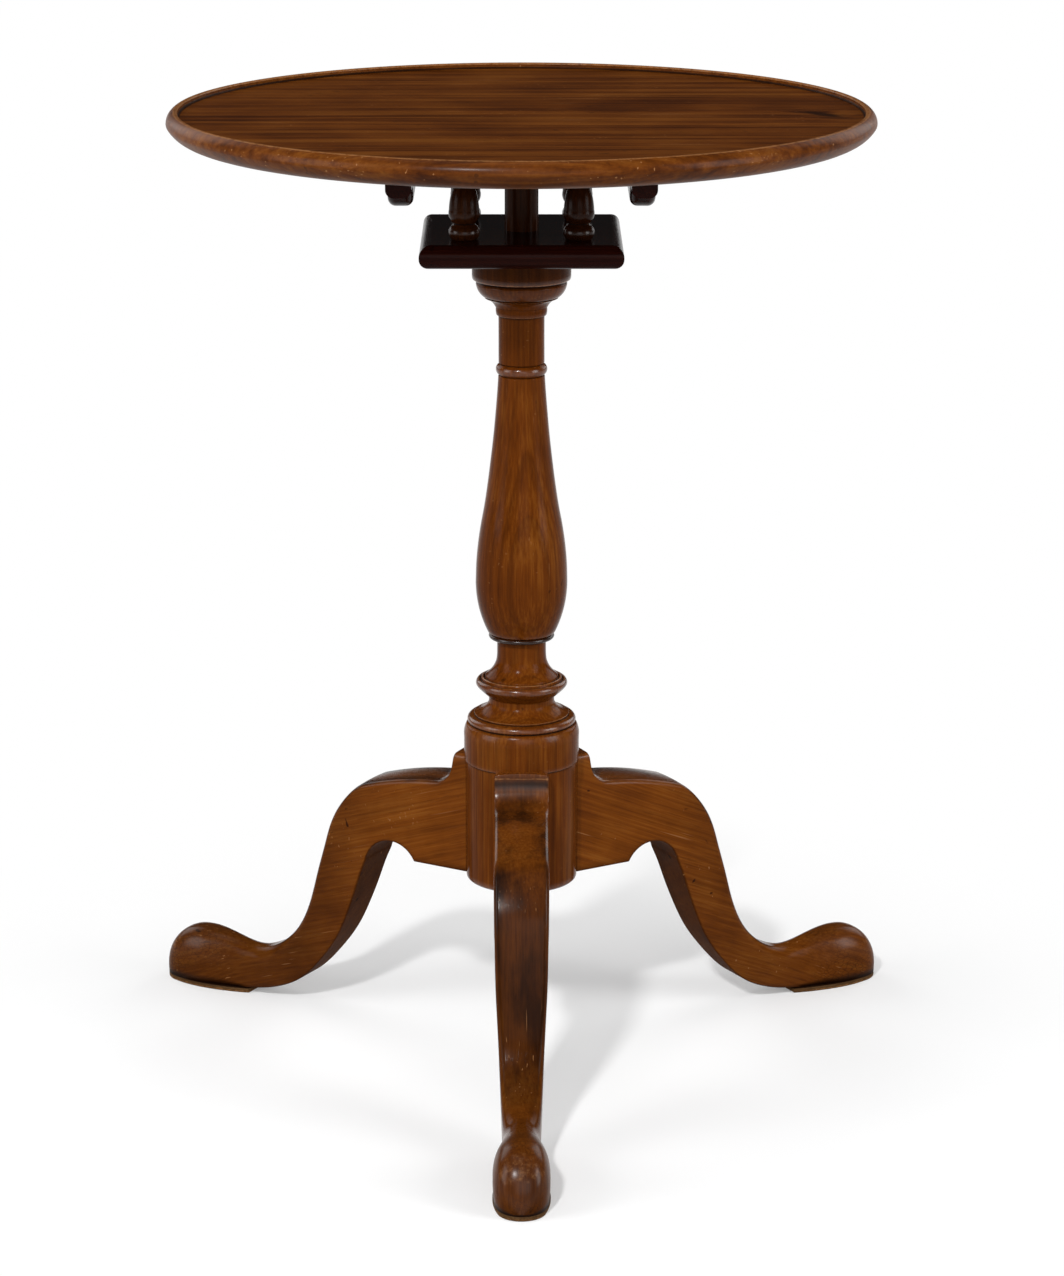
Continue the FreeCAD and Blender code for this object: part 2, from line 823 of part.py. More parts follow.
def strike_plate():
    """The brass plate let into the upper block's back edge, with an opening for the bolt."""
    half = strike_width / 2
    tall = strike_height / 2
    face_y = block_half - strike_thickness
    plate = box(-half, half, face_y, block_half, strike_z - tall, strike_z + tall)
    plate = plate.cut(bolt_way(face_y, block_half))
    head_y = block_half - small_screw_head_height
    for x in strike_screw_places():
        outside = (x, block_half, strike_z)
        shank = rod(small_screw_radius + fit_clearance, (x, face_y, strike_z), outside)
        head = rod(small_screw_head_radius + fit_clearance, (x, head_y, strike_z), outside)
        plate = plate.cut(shank).cut(head)
    return plate


def strike_screws():
    screw = small_screw().rotated(origin, FreeCAD.Vector(1, 0, 0), 90)
    return [screw.translated(FreeCAD.Vector(x, block_half, strike_z)) for x in strike_screw_places()]


def export(node, *solids):
    shape = solids[0] if len(solids) == 1 else Part.makeCompound(list(solids))
    shape.exportStep("parts/" + node + ".step")


def build():
    os.makedirs("parts", exist_ok=True)

    # Stand
    blank = round_column()
    export("column", column(blank))
    one_leg = leg(blank)
    pins = []
    for side, turn in leg_angles_deg.items():
        export("leg_" + side, around_axis(one_leg, turn))
        export("sole_" + side, around_axis(sole(), turn))
        pins += [around_axis(pin, turn) for pin in sole_pins()]
    export("sole_pins", *pins)

    # Cage
    export("lower_block", lower_block())
    export("upper_block", upper_block())
    wedges = []
    for place, (x, y) in pillar_places().items():
        spot = FreeCAD.Vector(x, y, 0)
        export("pillar_" + place, pillar().translated(spot))
        wedges += [wedge.translated(spot) for wedge in tenon_wedges()]
    export("pillar_wedges", *wedges)
    export("collar", collar())
    export("wedge_key", wedge_key())
    export("strike_plate", strike_plate())
    export("strike_screws", *strike_screws())

    # Top
    right_cleat = cleat()
    export("dish_top", dish_top())
    export("cleat_right", right_cleat)
    export("cleat_left", right_cleat.mirror(origin, FreeCAD.Vector(1, 0, 0)))
    export("cleat_screws", *cleat_screws())
    export("bolt_case", bolt_case())
    export("slide_bolt", slide_bolt())
    export("bolt_screws", *bolt_screws())


build()
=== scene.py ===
import math
import bpy
import numpy as np
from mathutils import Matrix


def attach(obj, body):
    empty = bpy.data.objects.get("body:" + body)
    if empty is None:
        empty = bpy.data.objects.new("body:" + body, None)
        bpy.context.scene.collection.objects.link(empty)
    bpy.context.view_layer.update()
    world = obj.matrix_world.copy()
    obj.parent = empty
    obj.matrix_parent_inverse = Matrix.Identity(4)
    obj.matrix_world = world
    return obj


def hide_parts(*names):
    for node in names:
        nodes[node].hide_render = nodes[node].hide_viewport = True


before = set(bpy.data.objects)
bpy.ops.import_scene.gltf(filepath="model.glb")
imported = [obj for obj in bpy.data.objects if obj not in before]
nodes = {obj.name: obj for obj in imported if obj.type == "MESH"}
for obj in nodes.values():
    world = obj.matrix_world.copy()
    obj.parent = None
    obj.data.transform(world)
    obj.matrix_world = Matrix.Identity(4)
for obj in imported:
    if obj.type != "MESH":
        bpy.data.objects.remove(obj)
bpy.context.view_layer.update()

# Tilt-top candle stand. The object's sizes are in millimetres; its meshes, the stage and the view are in
# metres.
mm = 0.001
print("frame:", len(nodes), "nodes")


# Curves and meshes

def outline(corners, soften=0.35, step=1.0, mostCut=0.4, bendPoints=6, arcPoints=9, linePoints=3):
    # corners are (r, z, bulge): each edge is an arc whose middle stands bulge to the right of its chord.
    # A corner turns into the curve (1-t)^2 before + 2t(1-t) corner + t^2 after, which starts and ends
    # soften away from it, or as far as the corner's own fourth value says, but at most mostCut of the edge.
    points = np.array([corner[:2] for corner in corners], float)
    softness = [corner[3] if len(corner) > 3 else soften for corner in corners]
    bends = np.linspace(0, 1, bendPoints)[1:-1, None]
    runs = []
    for index, (start, end) in enumerate(zip(points[:-1], points[1:])):
        bulge = corners[index][2]
        chord = np.linalg.norm(end - start)
        way = (end - start) / chord
        right = np.array([way[1], -way[0]])
        cut, endCut = (min(length / chord, mostCut) for length in softness[index:index + 2])
        count = max(int(chord / step) + 2, arcPoints if bulge else linePoints)
        share = np.linspace(cut, 1 - endCut, count)
        if bulge:
            half = 2 * math.atan(2 * bulge / chord)
            radius = chord / 2 / math.sin(half)
            angle = half * (2 * share - 1)
            along = chord / 2 + radius * np.sin(angle)
            off = radius * (np.cos(angle) - math.cos(half))
        else:
            along = chord * share
            off = 0 * share
        run = start + np.outer(along, way) + np.outer(off, right)
        if runs:
            before = runs[-1][-1]
            corner = 2 * bends * (1 - bends) * start
            runs.append((1 - bends) ** 2 * before + corner + bends ** 2 * run[0])
        runs.append(run)
    return np.vstack([points[:1]] + runs + [points[-1:]])


def lengthsAlong(points):
    # running length of a chain of points, from 0
    return np.concatenate([[0], np.cumsum(np.linalg.norm(np.diff(points, axis=0), axis=1))])


def resampled(points, count, crowd=0.0):
    # count points along the chain; crowd draws them towards its bends
    steps = np.diff(points, axis=0)
    lengths = np.linalg.norm(steps, axis=1)
    angles = np.unwrap(np.arctan2(steps[:, 1], steps[:, 0]))
    bending = np.abs(np.diff(angles, prepend=angles[0])) + np.abs(np.diff(angles, append=angles[-1]))
    measure = np.concatenate([[0], np.cumsum(lengths + crowd * bending)])
    at = np.linspace(0, measure[-1], count)
    return np.column_stack([np.interp(at, measure, points[:, axis]) for axis in (0, 1)])


def smoothCurve(knots, values, at):
    # natural cubic spline through values at knots: the bends m solve
    # g0 m0 + 2 (g0 + g1) m1 + g1 m2 = 6 (slope1 - slope0) at each inner knot
    count = len(knots)
    gaps = np.diff(knots)
    slopes = np.diff(values, axis=0) / gaps[:, None]
    matrix = np.eye(count)
    right = np.zeros(values.shape)
    inner = np.arange(1, count - 1)
    matrix[inner, inner - 1] = gaps[:-1]
    matrix[inner, inner] = 2 * (gaps[:-1] + gaps[1:])
    matrix[inner, inner + 1] = gaps[1:]
    right[inner] = 6 * (slopes[1:] - slopes[:-1])
    bends = np.linalg.solve(matrix, right)
    low = np.clip(np.searchsorted(knots, at) - 1, 0, count - 2)
    gap = gaps[low][:, None]
    left = (knots[low + 1] - at)[:, None]
    over = (at - knots[low])[:, None]
    cubic = (bends[low] * left ** 3 + bends[low + 1] * over ** 3) / (6 * gap)
    line = (values[low] / gap - bends[low] * gap / 6) * left
    return cubic + line + (values[low + 1] / gap - bends[low + 1] * gap / 6) * over


def smoothStep(low, high, values):
    # 0 below low, 1 above high, 3s^2 - 2s^3 between
    share = np.clip((values - low) / (high - low), 0, 1)
    return share * share * (3 - 2 * share)


def gridPiece(name, grid, body, replaced, finish, attributes=None):
    # rows of closed rings joined by quads, with a middle point closing the first and the last ring
    rows, columns = grid.shape[:2]
    points = np.vstack([grid.reshape(-1, 3), grid[0].mean(0), grid[-1].mean(0)])
    row, column = np.meshgrid(np.arange(rows - 1), np.arange(columns), indexing="ij")
    after = (column + 1) % columns
    corners = [row * columns + column, row * columns + after]
    corners += [(row + 1) * columns + after, (row + 1) * columns + column]
    quads = np.stack(corners, axis=-1).reshape(-1, 4)
    ring = np.arange(columns)
    nextRing = (ring + 1) % columns
    first = np.column_stack([np.full(columns, rows * columns), nextRing, ring])
    topRow = (rows - 1) * columns
    last = np.column_stack([np.full(columns, rows * columns + 1), topRow + ring, topRow + nextRing])
    a, b, c, d = (points[quads[:, index]] for index in range(4))
    volume = np.einsum("ij,ij->", a, np.cross(b, c)) + np.einsum("ij,ij->", a, np.cross(c, d))
    flip = -1 if volume < 0 else 1
    faces = quads[:, ::flip].tolist() + first[:, ::flip].tolist() + last[:, ::flip].tolist()
    mesh = bpy.data.meshes.new(name)
    mesh.from_pydata((points * mm).tolist(), [], faces)
    mesh.shade_smooth()
    for key, values in (attributes or {}).items():
        wide = values.ndim == 3
        flat = values.reshape(rows * columns, -1)
        flat = np.vstack([flat, flat[:columns].mean(0), flat[-columns:].mean(0)])
        layer = mesh.attributes.new(key, "FLOAT_VECTOR" if wide else "FLOAT", "POINT")
        layer.data.foreach_set("vector" if wide else "value", flat.astype(np.float32).ravel())
    piece = bpy.data.objects.new(name, mesh)
    bpy.context.scene.collection.objects.link(piece)
    mesh.materials.append(finish)
    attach(piece, body)
    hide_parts(replaced)
    return piece


def reliefOf(profile, reach, spacing=0.2):
    # how far a profile stands in front of its own average over reach: above 0 on edges, below 0 in
    # creases
    length = lengthsAlong(profile)
    even = np.arange(0, length[-1], spacing)
    chain = np.column_stack([np.interp(even, length, profile[:, axis]) for axis in (0, 1)])
    half = int(reach / spacing)
    weights = np.hanning(2 * half + 1)
    weights /= weights.sum()
    padded = np.pad(chain, ((half, half), (0, 0)), mode="edge")
    mean = np.column_stack([np.convolve(padded[:, axis], weights, "valid") for axis in (0, 1)])
    way = np.gradient(chain, axis=0)
    way /= np.linalg.norm(way, axis=1)[:, None]
    relief = (chain[:, 0] - mean[:, 0]) * way[:, 1] - (chain[:, 1] - mean[:, 1]) * way[:, 0]
    return np.interp(length, even, relief)


turning = {
    "waves": [(2, 31, 1.0), (5, -17, 0.6), (0, 6, 0.4)],  # lobes round, height of one radian, share
    "wobbleFull": 20, "axis": 0.001, "polishReach": 3,
    # relief at which each starts and is full: the wear with its painted highlight on edges, the grime with
    # its painted shade in creases
    "wear": (0.05, 0.5), "grime": (0.05, 0.55), "polish": (0.15, 0.9),
}


def turnedPiece(name, profile, segments, body, replaced, finish, centre=(0, 0), wobble=0.0,
                reach=3.0, marks=()):
    # x = cx + r cos(angle), y = cy + r sin(angle): a profile swung round an upright axis. Its wear with a
    # painted highlight on the edges, its grime with painted shade in the creases, and its polish come from
    # the profile's relief, wobble is the hand's unevenness in the radius, and marks are bands added to one
    # of these as (which, height, half width, amount)
    profile = profile[profile[:, 0] > turning["axis"]]
    angle = np.linspace(0, 2 * math.pi, segments, endpoint=False)
    height = profile[:, 1][:, None]
    swell = sum(share * np.sin(lobes * angle + height / rise) for lobes, rise, share in turning["waves"])
    uneven = wobble * smoothStep(0, turning["wobbleFull"], profile[:, 0])[:, None]
    radius = profile[:, 0][:, None] + swell * uneven
    x = centre[0] + radius * np.cos(angle)
    y = centre[1] + radius * np.sin(angle)
    grid = np.stack([x, y, np.broadcast_to(height, x.shape)], axis=-1)
    relief = np.repeat(reliefOf(profile, reach)[:, None], segments, axis=1)
    broadRelief = np.repeat(reliefOf(profile, turning["polishReach"] * reach)[:, None], segments, axis=1)
    # edges take wear and a painted highlight, creases take grime and painted shade
    attributes = {
        "wear": smoothStep(*turning["wear"], relief), "grime": smoothStep(*turning["grime"], -relief),
        "polish": smoothStep(*turning["polish"], broadRelief),
    }
    for which, place, half, amount in marks:
        band = amount * np.exp(-((grid[..., 2] - place) / half) ** 2)
        other = "wear" if which == "grime" else "grime"
        attributes[which] = np.maximum(attributes[which], band)
        attributes[other] = attributes[other] * (1 - band)
    return gridPiece(name, grid, body, replaced, finish, attributes)


# Shader maths: an expression on wires adds its nodes

class Wire:
    def __init__(self, tree, socket=None):
        self.tree = tree
        self.socket = socket

    def node(self, kind, settings, inputs, output=0):
        made = self.tree.nodes.new("ShaderNode" + kind)
        for key, value in settings.items():
            if key == "stops":
                ramp = made.color_ramp
                while len(ramp.elements) < len(value):
                    ramp.elements.new(0.5)
                for element, (place, colour) in zip(ramp.elements, value):
                    element.position = place
                    element.color = (*colour, 1)
            else:
                setattr(made, key, value)
        for key, value in inputs.items():
            if isinstance(value, Wire):
                self.tree.links.new(value.socket, made.inputs[key])
            else:
                made.inputs[key].default_value = value
        return Wire(self.tree, made.outputs[output] if made.outputs else None)

    def maths(self, operation, *values):
        return self.node("Math", {"operation": operation}, dict(enumerate(values)))

    def __add__(self, other):
        return self.maths("ADD", self, other)

    __radd__ = __add__

    def __sub__(self, other):
        return self.maths("SUBTRACT", self, other)

    def __rsub__(self, other):
        return self.maths("SUBTRACT", other, self)

    def __mul__(self, other):
        return self.maths("MULTIPLY", self, other)

    __rmul__ = __mul__

    def __pow__(self, other):
        return self.maths("POWER", self, other)

    def step(self, low, high):
        # 0 below low, 1 above high, smooth between
        inputs = {"Value": self, "From Min": low, "From Max": high}
        return self.node("MapRange", {"interpolation_type": "SMOOTHSTEP"}, inputs)

    def stretch(self, x, y, z):
        return self.node("VectorMath", {"operation": "MULTIPLY"}, {0: self, 1: (x, y, z)})

    def apart(self):
        return [self.node("SeparateXYZ", {}, {0: self}, index) for index in range(3)]

    def join(self, x, y, z):
        return self.node("CombineXYZ", {}, {0: x, 1: y, 2: z})

    def noise(self, scale=1.0, detail=2.0, rough=0.5):
        inputs = {"Vector": self, "Scale": scale, "Detail": detail, "Roughness": rough}
        return self.node("TexNoise", {}, inputs, "Fac")

    def blend(self, first, second):
        # in a colour Mix node the sockets 6 and 7 take the two colours, and 2 gives the result
        return self.node("Mix", {"data_type": "RGBA"}, {0: self, 6: first, 7: second}, 2)

    def ramp(self, stops):
        return self.node("ValToRGB", {"stops": stops}, {0: self})

    def carried(self, name, output="Fac"):
        # an attribute that the mesh carries, 0 where it has none
        return self.node("Attribute", {"attribute_name": name}, {}, output)


def startFinish(name):
    # an empty material, and a wire to build it with
    finish = bpy.data.materials.new(name)
    finish.use_nodes = True
    finish.node_tree.nodes.clear()
    return finish, Wire(finish.node_tree)


def closeFinish(w, inputs, height, depth):
    # a height of 1 stands depth metres proud
    normal = w.node("Bump", {}, {"Height": height, "Strength": 1.0, "Distance": depth})
    shader = w.node("BsdfPrincipled", {}, {**inputs, "Normal": normal})
    w.node("OutputMaterial", {}, {"Surface": shader})


def opaque(colour):
    return (*colour, 1)


def grey(value):
    return (value, value, value, 1)


# what all the woods share: noise scales per metre along and across the fibres, and the noise values at
# which a mark starts and is full
woodGrain = {
    "sway": (4, 14, 14), "figureRun": 1.6, "figurePlane": 2.3, "broadRun": 0.9, "broadPlane": 7.1,
    "lineShare": 0.3, "lineRise": (0.45, 0.92), "lineFall": (0.92, 1.0),
    "pore": (45, 950, 950), "poreStep": (0.6, 0.7),
    "blotch": (10, 36, 36), "blotchStep": (0.45, 0.72), "blotchOnFace": 0.06, "stainOnFace": 0.5,
    "rimScale": 300, "rimFigure": (0.34, 0.32, 0.85), "rimBroad": 0.95,
    "knotSway": 1.2, "knotReach": 3.5, "knotCore": (0.4, 1.1, 0.5), "knotHalo": (0.6, 2.4, 0.4),
    "crackStretch": (1, 1, 1.7), "crackScale": 230, "crackStep": (0.0, 0.1), "crackPatch": (0.35, 0.6),
    "crackRough": 0.12, "crackDepth": 0.8,
    "scuffScale": 240, "rubAndHighlight": (0.2, 1.2), "rubAndHighlightStep": (0.42, 0.85),
    "dirtAndShade": (0.45, 0.9), "dirtAndShadeStep": (0.15, 0.8),
    "roughCloud": 0.16, "roughFibre": 0.06, "roughDirtAndShade": 0.2, "roughStain": 0.08, "roughDull": 0.45,
    "fibreHeight": 0.35, "poreHeight": -0.5, "cloudHeight": 0.8, "coatRough": 0.24,
}
flecks = {
    "speck": {
        "stretch": (150, 190, 190), "scale": 1, "detail": 0, "step": (0.78, 0.82),
        "patch": (11, 0.5, 0.62),
    },
    "scratch": {
        "stretch": (11, 620, 620), "scale": 1, "detail": 1, "step": (0.7, 0.76),
        "patch": (13, 0.5, 0.62),
    },
    "nick": {
        "stretch": (300, 190, 190), "scale": 1.7, "detail": 0, "step": (0.79, 0.84),
        "patch": (17, 0.5, 0.6),
    },
}


def scattered(p, fleck):
    # small marks where a stretched noise is high, in patches where a broad noise is high; a patch is its
    # noise scale and the values at which it starts and is full
    small = p.stretch(*fleck["stretch"]).noise(fleck["scale"], fleck["detail"]).step(*fleck["step"])
    scale, low, high = fleck["patch"]
    return small * p.noise(scale, 1).step(low, high)


def knotDistance(w, place, knot):
    # distance from the knot's middle, in its own half length and half width
    inputs = {0: place, 1: [value * mm for value in knot["place"]]}
    near = w.node("VectorMath", {"operation": "SUBTRACT"}, inputs)
    near = w.node("Mapping", {}, {"Vector": near, "Rotation": (0, 0, math.radians(-knot["turn"]))})
    near = near.stretch(1 / (knot["long"] * mm), 1 / (knot["wide"] * mm), 1)
    return w.node("VectorMath", {"operation": "LENGTH"}, {0: near}, "Value")


def woodFinish(name, look):
    # grain space: x runs along the fibres, and rings lie around that axis at the distance sqrt(y^2 + z^2)
    g = woodGrain
    finish, w = startFinish(name)
    # a dark colour for grain lines, grime and painted shade, and a pale one for wear and painted highlights
    grimeAndShadeColour = opaque(look["grime"])
    wornAndHighlightColour = opaque(look["wornAndHighlight"])
    place = w.node("TexCoord", {}, {}, "Object")
    if look.get("carried"):
        p = w.carried("grain", "Vector")
    else:
        turn = [math.radians(angle) for angle in look["turn"]]
        shift = [value * mm for value in look["heart"]]
        p = w.node("Mapping", {}, {"Vector": place, "Rotation": turn, "Location": shift})
    x, y, z = p.apart()
    sway = p.stretch(*g["sway"]).noise(1, 2) - 0.5
    ring = (y * y + z * z) ** 0.5 + sway * (look["sway"] * mm)
    knot = look.get("knot")
    if knot:
        knotSize = knotDistance(w, place, knot) + sway * g["knotSway"]
        ring = ring + (1 - knotSize.step(0.0, g["knotReach"])) * (knot["bend"] * mm)
    figure = w.join(x * g["figureRun"], ring * look["figure"], g["figurePlane"]).noise(1, 3, 0.55)
    broad = w.join(x * g["broadRun"], ring * look["broad"], g["broadPlane"]).noise(1, 2)
    along, across = look["fibre"]
    fibre = p.stretch(along, across, across).noise(1, 3, 0.6)
    pore = p.stretch(*g["pore"]).noise(1, 1).step(*g["poreStep"])
    cloud = p.noise(look["cloud"], 4, 0.55)

    # the moulded rim shows a finer figure than the flat of the board
    if look.get("rim"):
        flatX, flatY = place.apart()[:2]
        fromAxis = (flatX * flatX + flatY * flatY) ** 0.5
        onRim = fromAxis.step((look["rim"] - 1) * mm, look["rim"] * mm)
        base, gain, share = g["rimFigure"]
        figure = figure + (base + p.noise(g["rimScale"], 2, 0.6) * gain - figure) * (onRim * share)
        broad = broad + (0.5 - broad) * (onRim * g["rimBroad"])

    # colour of the sound wood, then its late-wood lines and pores
    late = w.maths("FRACT", ring * look["rings"] + figure * g["lineShare"])
    line = late.step(*g["lineRise"]) * (1 - late.step(*g["lineFall"])) * look["lines"]
    parts = zip((figure, broad, fibre, cloud), look["weights"])
    tone = sum((part - 0.5) * weight for part, weight in parts).step(-look["spread"], look["spread"])
    colour = tone.ramp([(0.0, look["dark"]), (0.5, look["mid"]), (1.0, look["light"])])
    colour = (line + pore * look["pores"]).blend(colour, grimeAndShadeColour)
    rough = look["rough"] + (cloud - 0.5) * g["roughCloud"] + fibre * g["roughFibre"]
    height = fibre * g["fibreHeight"] + pore * g["poreHeight"] + cloud * g["cloudHeight"]

    # stains and darkened faces, which on the legs are painted shade on the outer and under faces and a
    # darkening down the shins, then specks, scratches and nicks
    face = w.carried("stained")
    blotch = p.stretch(*g["blotch"]).noise(1, 4, 0.6) + face * g["blotchOnFace"]
    stain = blotch.step(*g["blotchStep"]) * (look["stains"] + face * g["stainOnFace"])
    colour = (stain + w.carried("darkened") * look["darkenedShare"]).blend(colour, grimeAndShadeColour)
    colour = (scattered(p, flecks["speck"]) * look["specks"]).blend(colour, grimeAndShadeColour)
    scars = scattered(p, flecks["scratch"]) + scattered(p, flecks["nick"])
    colour = (scars * look["scratches"]).blend(colour, wornAndHighlightColour)
    if knot:
        zones = (g["knotCore"], g["knotHalo"])
        dark = sum((1 - knotSize.step(low, high)) * share for low, high, share in zones)
        colour = dark.blend(colour, grimeAndShadeColour)

    # cracks in the varnish run along the edges of cells
    if look.get("crazing"):
        crazed = w.carried("crazed")
        inputs = {"Vector": place.stretch(*g["crackStretch"]), "Scale": g["crackScale"]}
        cells = w.node("TexVoronoi", {"feature": "DISTANCE_TO_EDGE"}, inputs, "Distance")
        crack = (1 - cells.step(*g["crackStep"])) * crazed * cloud.step(*g["crackPatch"])
        colour = (crack * look["crazing"]).blend(colour, grimeAndShadeColour)
        rough = rough + crazed * g["crackRough"]
        height = height - crack * g["crackDepth"]

    # rubbed edges show bare wood and painted highlights, and creases hold dirt and painted shade
    least, gain = g["rubAndHighlight"]
    scuff = p.noise(g["scuffScale"], 3, 0.65)
    rubAndHighlight = (w.carried("wear") * (least + scuff * gain)).step(*g["rubAndHighlightStep"]) * look["rubbedAndHighlit"]
    colour = rubAndHighlight.blend(colour, wornAndHighlightColour)
    least, gain = g["dirtAndShade"]
    dirtAndShade = (w.carried("grime") * (least + cloud * gain)).step(*g["dirtAndShadeStep"]) * look["dirtyAndShaded"]
    colour = dirtAndShade.blend(colour, grimeAndShadeColour)
    rough = rough + dirtAndShade * g["roughDirtAndShade"] + stain * g["roughStain"] + w.carried("dull") * g["roughDull"]
    inputs = {
        "Base Color": colour, "Roughness": rough, "Specular IOR Level": look["shine"],
        "Coat Weight": w.carried("polish") * look["coat"], "Coat Roughness": g["coatRough"],
    }
    closeFinish(w, inputs, height, look["depth"] * mm)
    print("finish:", name)
    return finish


metalGrain = {
    "cloud": 90, "speck": 700, "speckStep": (0.58, 0.72), "speckInFilm": 0.2, "filmStep": (0.42, 0.7),
    "filmRough": 0.25, "cloudHeight": 0.6, "speckHeight": 0.4, "depth": 0.06,
}


def metalFinish(name, look):
    # worn bright metal where the clouds are low, dull film where they are high
    g = metalGrain
    finish, w = startFinish(name)
    p = w.node("TexCoord", {}, {}, "Object")
    cloud = p.noise(g["cloud"], 4, 0.6)
    speck = p.noise(g["speck"], 2).step(*g["speckStep"])
    film = (cloud + speck * g["speckInFilm"]).step(*g["filmStep"])
    inputs = {
        "Base Color": film.blend(opaque(look["bright"]), opaque(look["dull"])),
        "Metallic": 1 - film * look["film"], "Roughness": look["rough"] + film * g["filmRough"],
    }
    closeFinish(w, inputs, cloud * g["cloudHeight"] + speck * g["speckHeight"], g["depth"] * mm)
    print("finish:", name)
    return finish


# turn is in degrees, heart, sway and depth in millimetres; figure, broad, cloud, fibre and rings are scales
# per metre; the rest are colours and shares
walnut = {
    "dark": (0.050, 0.0105, 0.0010), "mid": (0.116, 0.0290, 0.0026), "light": (0.190, 0.0600, 0.0075),
    "wornAndHighlight": (0.330, 0.1500, 0.0560), "grime": (0.010, 0.0030, 0.0010),
    "turn": (0, 90, 0), "heart": (0, 0, 0), "sway": 9, "figure": 210, "broad": 46, "cloud": 13,
    "fibre": (14, 520), "rings": 150, "lines": 0.08, "weights": (0.24, 0.12, 0.36, 0.3),
    "spread": 0.26, "pores": 0.2, "rough": 0.15, "shine": 0.03, "coat": 0.5, "depth": 0.04,
    "stains": 0.15, "darkenedShare": 0.45, "scratches": 0.25, "specks": 0.5, "rubbedAndHighlit": 0.55, "dirtyAndShaded": 0.95,
}
columnWood = woodFinish("column_walnut", {
    **walnut, "mid": (0.104, 0.0250, 0.0022), "heart": (0, 92, 18), "figure": 300, "sway": 5,
    "lines": 0.2, "weights": (0.1, 0.08, 0.3, 0.3), "pores": 0.12, "rough": 0.14, "spread": 0.21,
    "coat": 0.7,
})
topWood = woodFinish("top_walnut", {
    **walnut,
    "dark": (0.038, 0.0085, 0.0010), "mid": (0.104, 0.0270, 0.0028), "light": (0.165, 0.0520, 0.0070),
    "turn": (0, 0, 0), "heart": (0, 380, -560), "figure": 150, "broad": 45, "sway": 20, "fibre": (4, 190),
    "rings": 60, "lines": 0.1, "weights": (0.38, 0.06, 0.36, 0.26), "spread": 0.15, "rough": 0.34,
    "scratches": 0.7, "rim": 244.5, "coat": 0.09,
    "knot": {"place": (216, -4, 714.5), "turn": 128, "long": 19, "wide": 6.5, "bend": 14},
})
legWood = woodFinish("leg_walnut", {
    **walnut,
    "dark": (0.066, 0.0150, 0.0015), "mid": (0.144, 0.0380, 0.0038), "light": (0.220, 0.0720, 0.0100),
    "carried": True, "cloud": 17, "weights": (0.15, 0.12, 0.36, 0.34), "spread": 0.25, "stains": 0.17,
    "specks": 0.8, "scratches": 0.45, "rubbedAndHighlit": 0.6, "crazing": 0.6,
})
darkWalnut = {
    **walnut,
    "dark": (0.0045, 0.0010, 0.0006), "mid": (0.0165, 0.0024, 0.0012), "light": (0.034, 0.0060, 0.0024),
    "wornAndHighlight": (0.070, 0.0240, 0.0080), "grime": (0.003, 0.0010, 0.0007), "rough": 0.16, "shine": 0.04,
    "scratches": 0.1, "rubbedAndHighlit": 0.25,
}
pillarWood = woodFinish("pillar_dark_walnut", {
    **darkWalnut, "dark": (0.011, 0.0026, 0.0006), "mid": (0.023, 0.0056, 0.0011),
    "light": (0.050, 0.0140, 0.0028), "heart": (0, 20, 9), "rubbedAndHighlit": 0.1, "coat": 0.35,
})
boardWood = woodFinish("cage_dark_walnut", {
    **darkWalnut, "turn": (0, 0, 0), "heart": (0, 10, -460), "figure": 300,
})
cleatWood = woodFinish("cleat_dark_walnut", {**darkWalnut, "turn": (0, 0, 90), "heart": (0, 40, -500)})
soleWood = woodFinish("sole_wood", {
    **walnut, "carried": True, "dark": (0.040, 0.0170, 0.0060), "mid": (0.066, 0.0320, 0.0120),
    "light": (0.130, 0.0700, 0.0290), "rough": 0.5,
})
brass = metalFinish("old_brass", {
    "bright": (0.52, 0.34, 0.12), "dull": (0.12, 0.078, 0.032), "film": 0.35, "rough": 0.3,
})
iron = metalFinish("old_iron", {
    "bright": (0.16, 0.15, 0.14), "dull": (0.045, 0.026, 0.017), "film": 0.7, "rough": 0.42,
})


# Dished top

dish = {
    "profile": [
        (0, 699.2, 0), (230, 699.2, 4.3), (254, 709.6, 1.9), (248, 719, 0.5), (245.4, 717.8, -0.9),
        (243.8, 714.5, 0), (0, 714.5, 0),
    ],
    "segments": 360, "soften": 0.8, "step": 2.6, "wobble": 0.05, "reliefReach": 4.0,
    # a painted highlight along the rim's top edge
    "marks": [("wear", 718.8, 0.45, 1.0)],
}
dishProfile = outline(dish["profile"], dish["soften"], dish["step"])
turnedPiece("round_top", dishProfile, dish["segments"], "top", "dish_top", topWood,
            wobble=dish["wobble"], reach=dish["reliefReach"], marks=dish["marks"])
print("round top")


# Column with its post

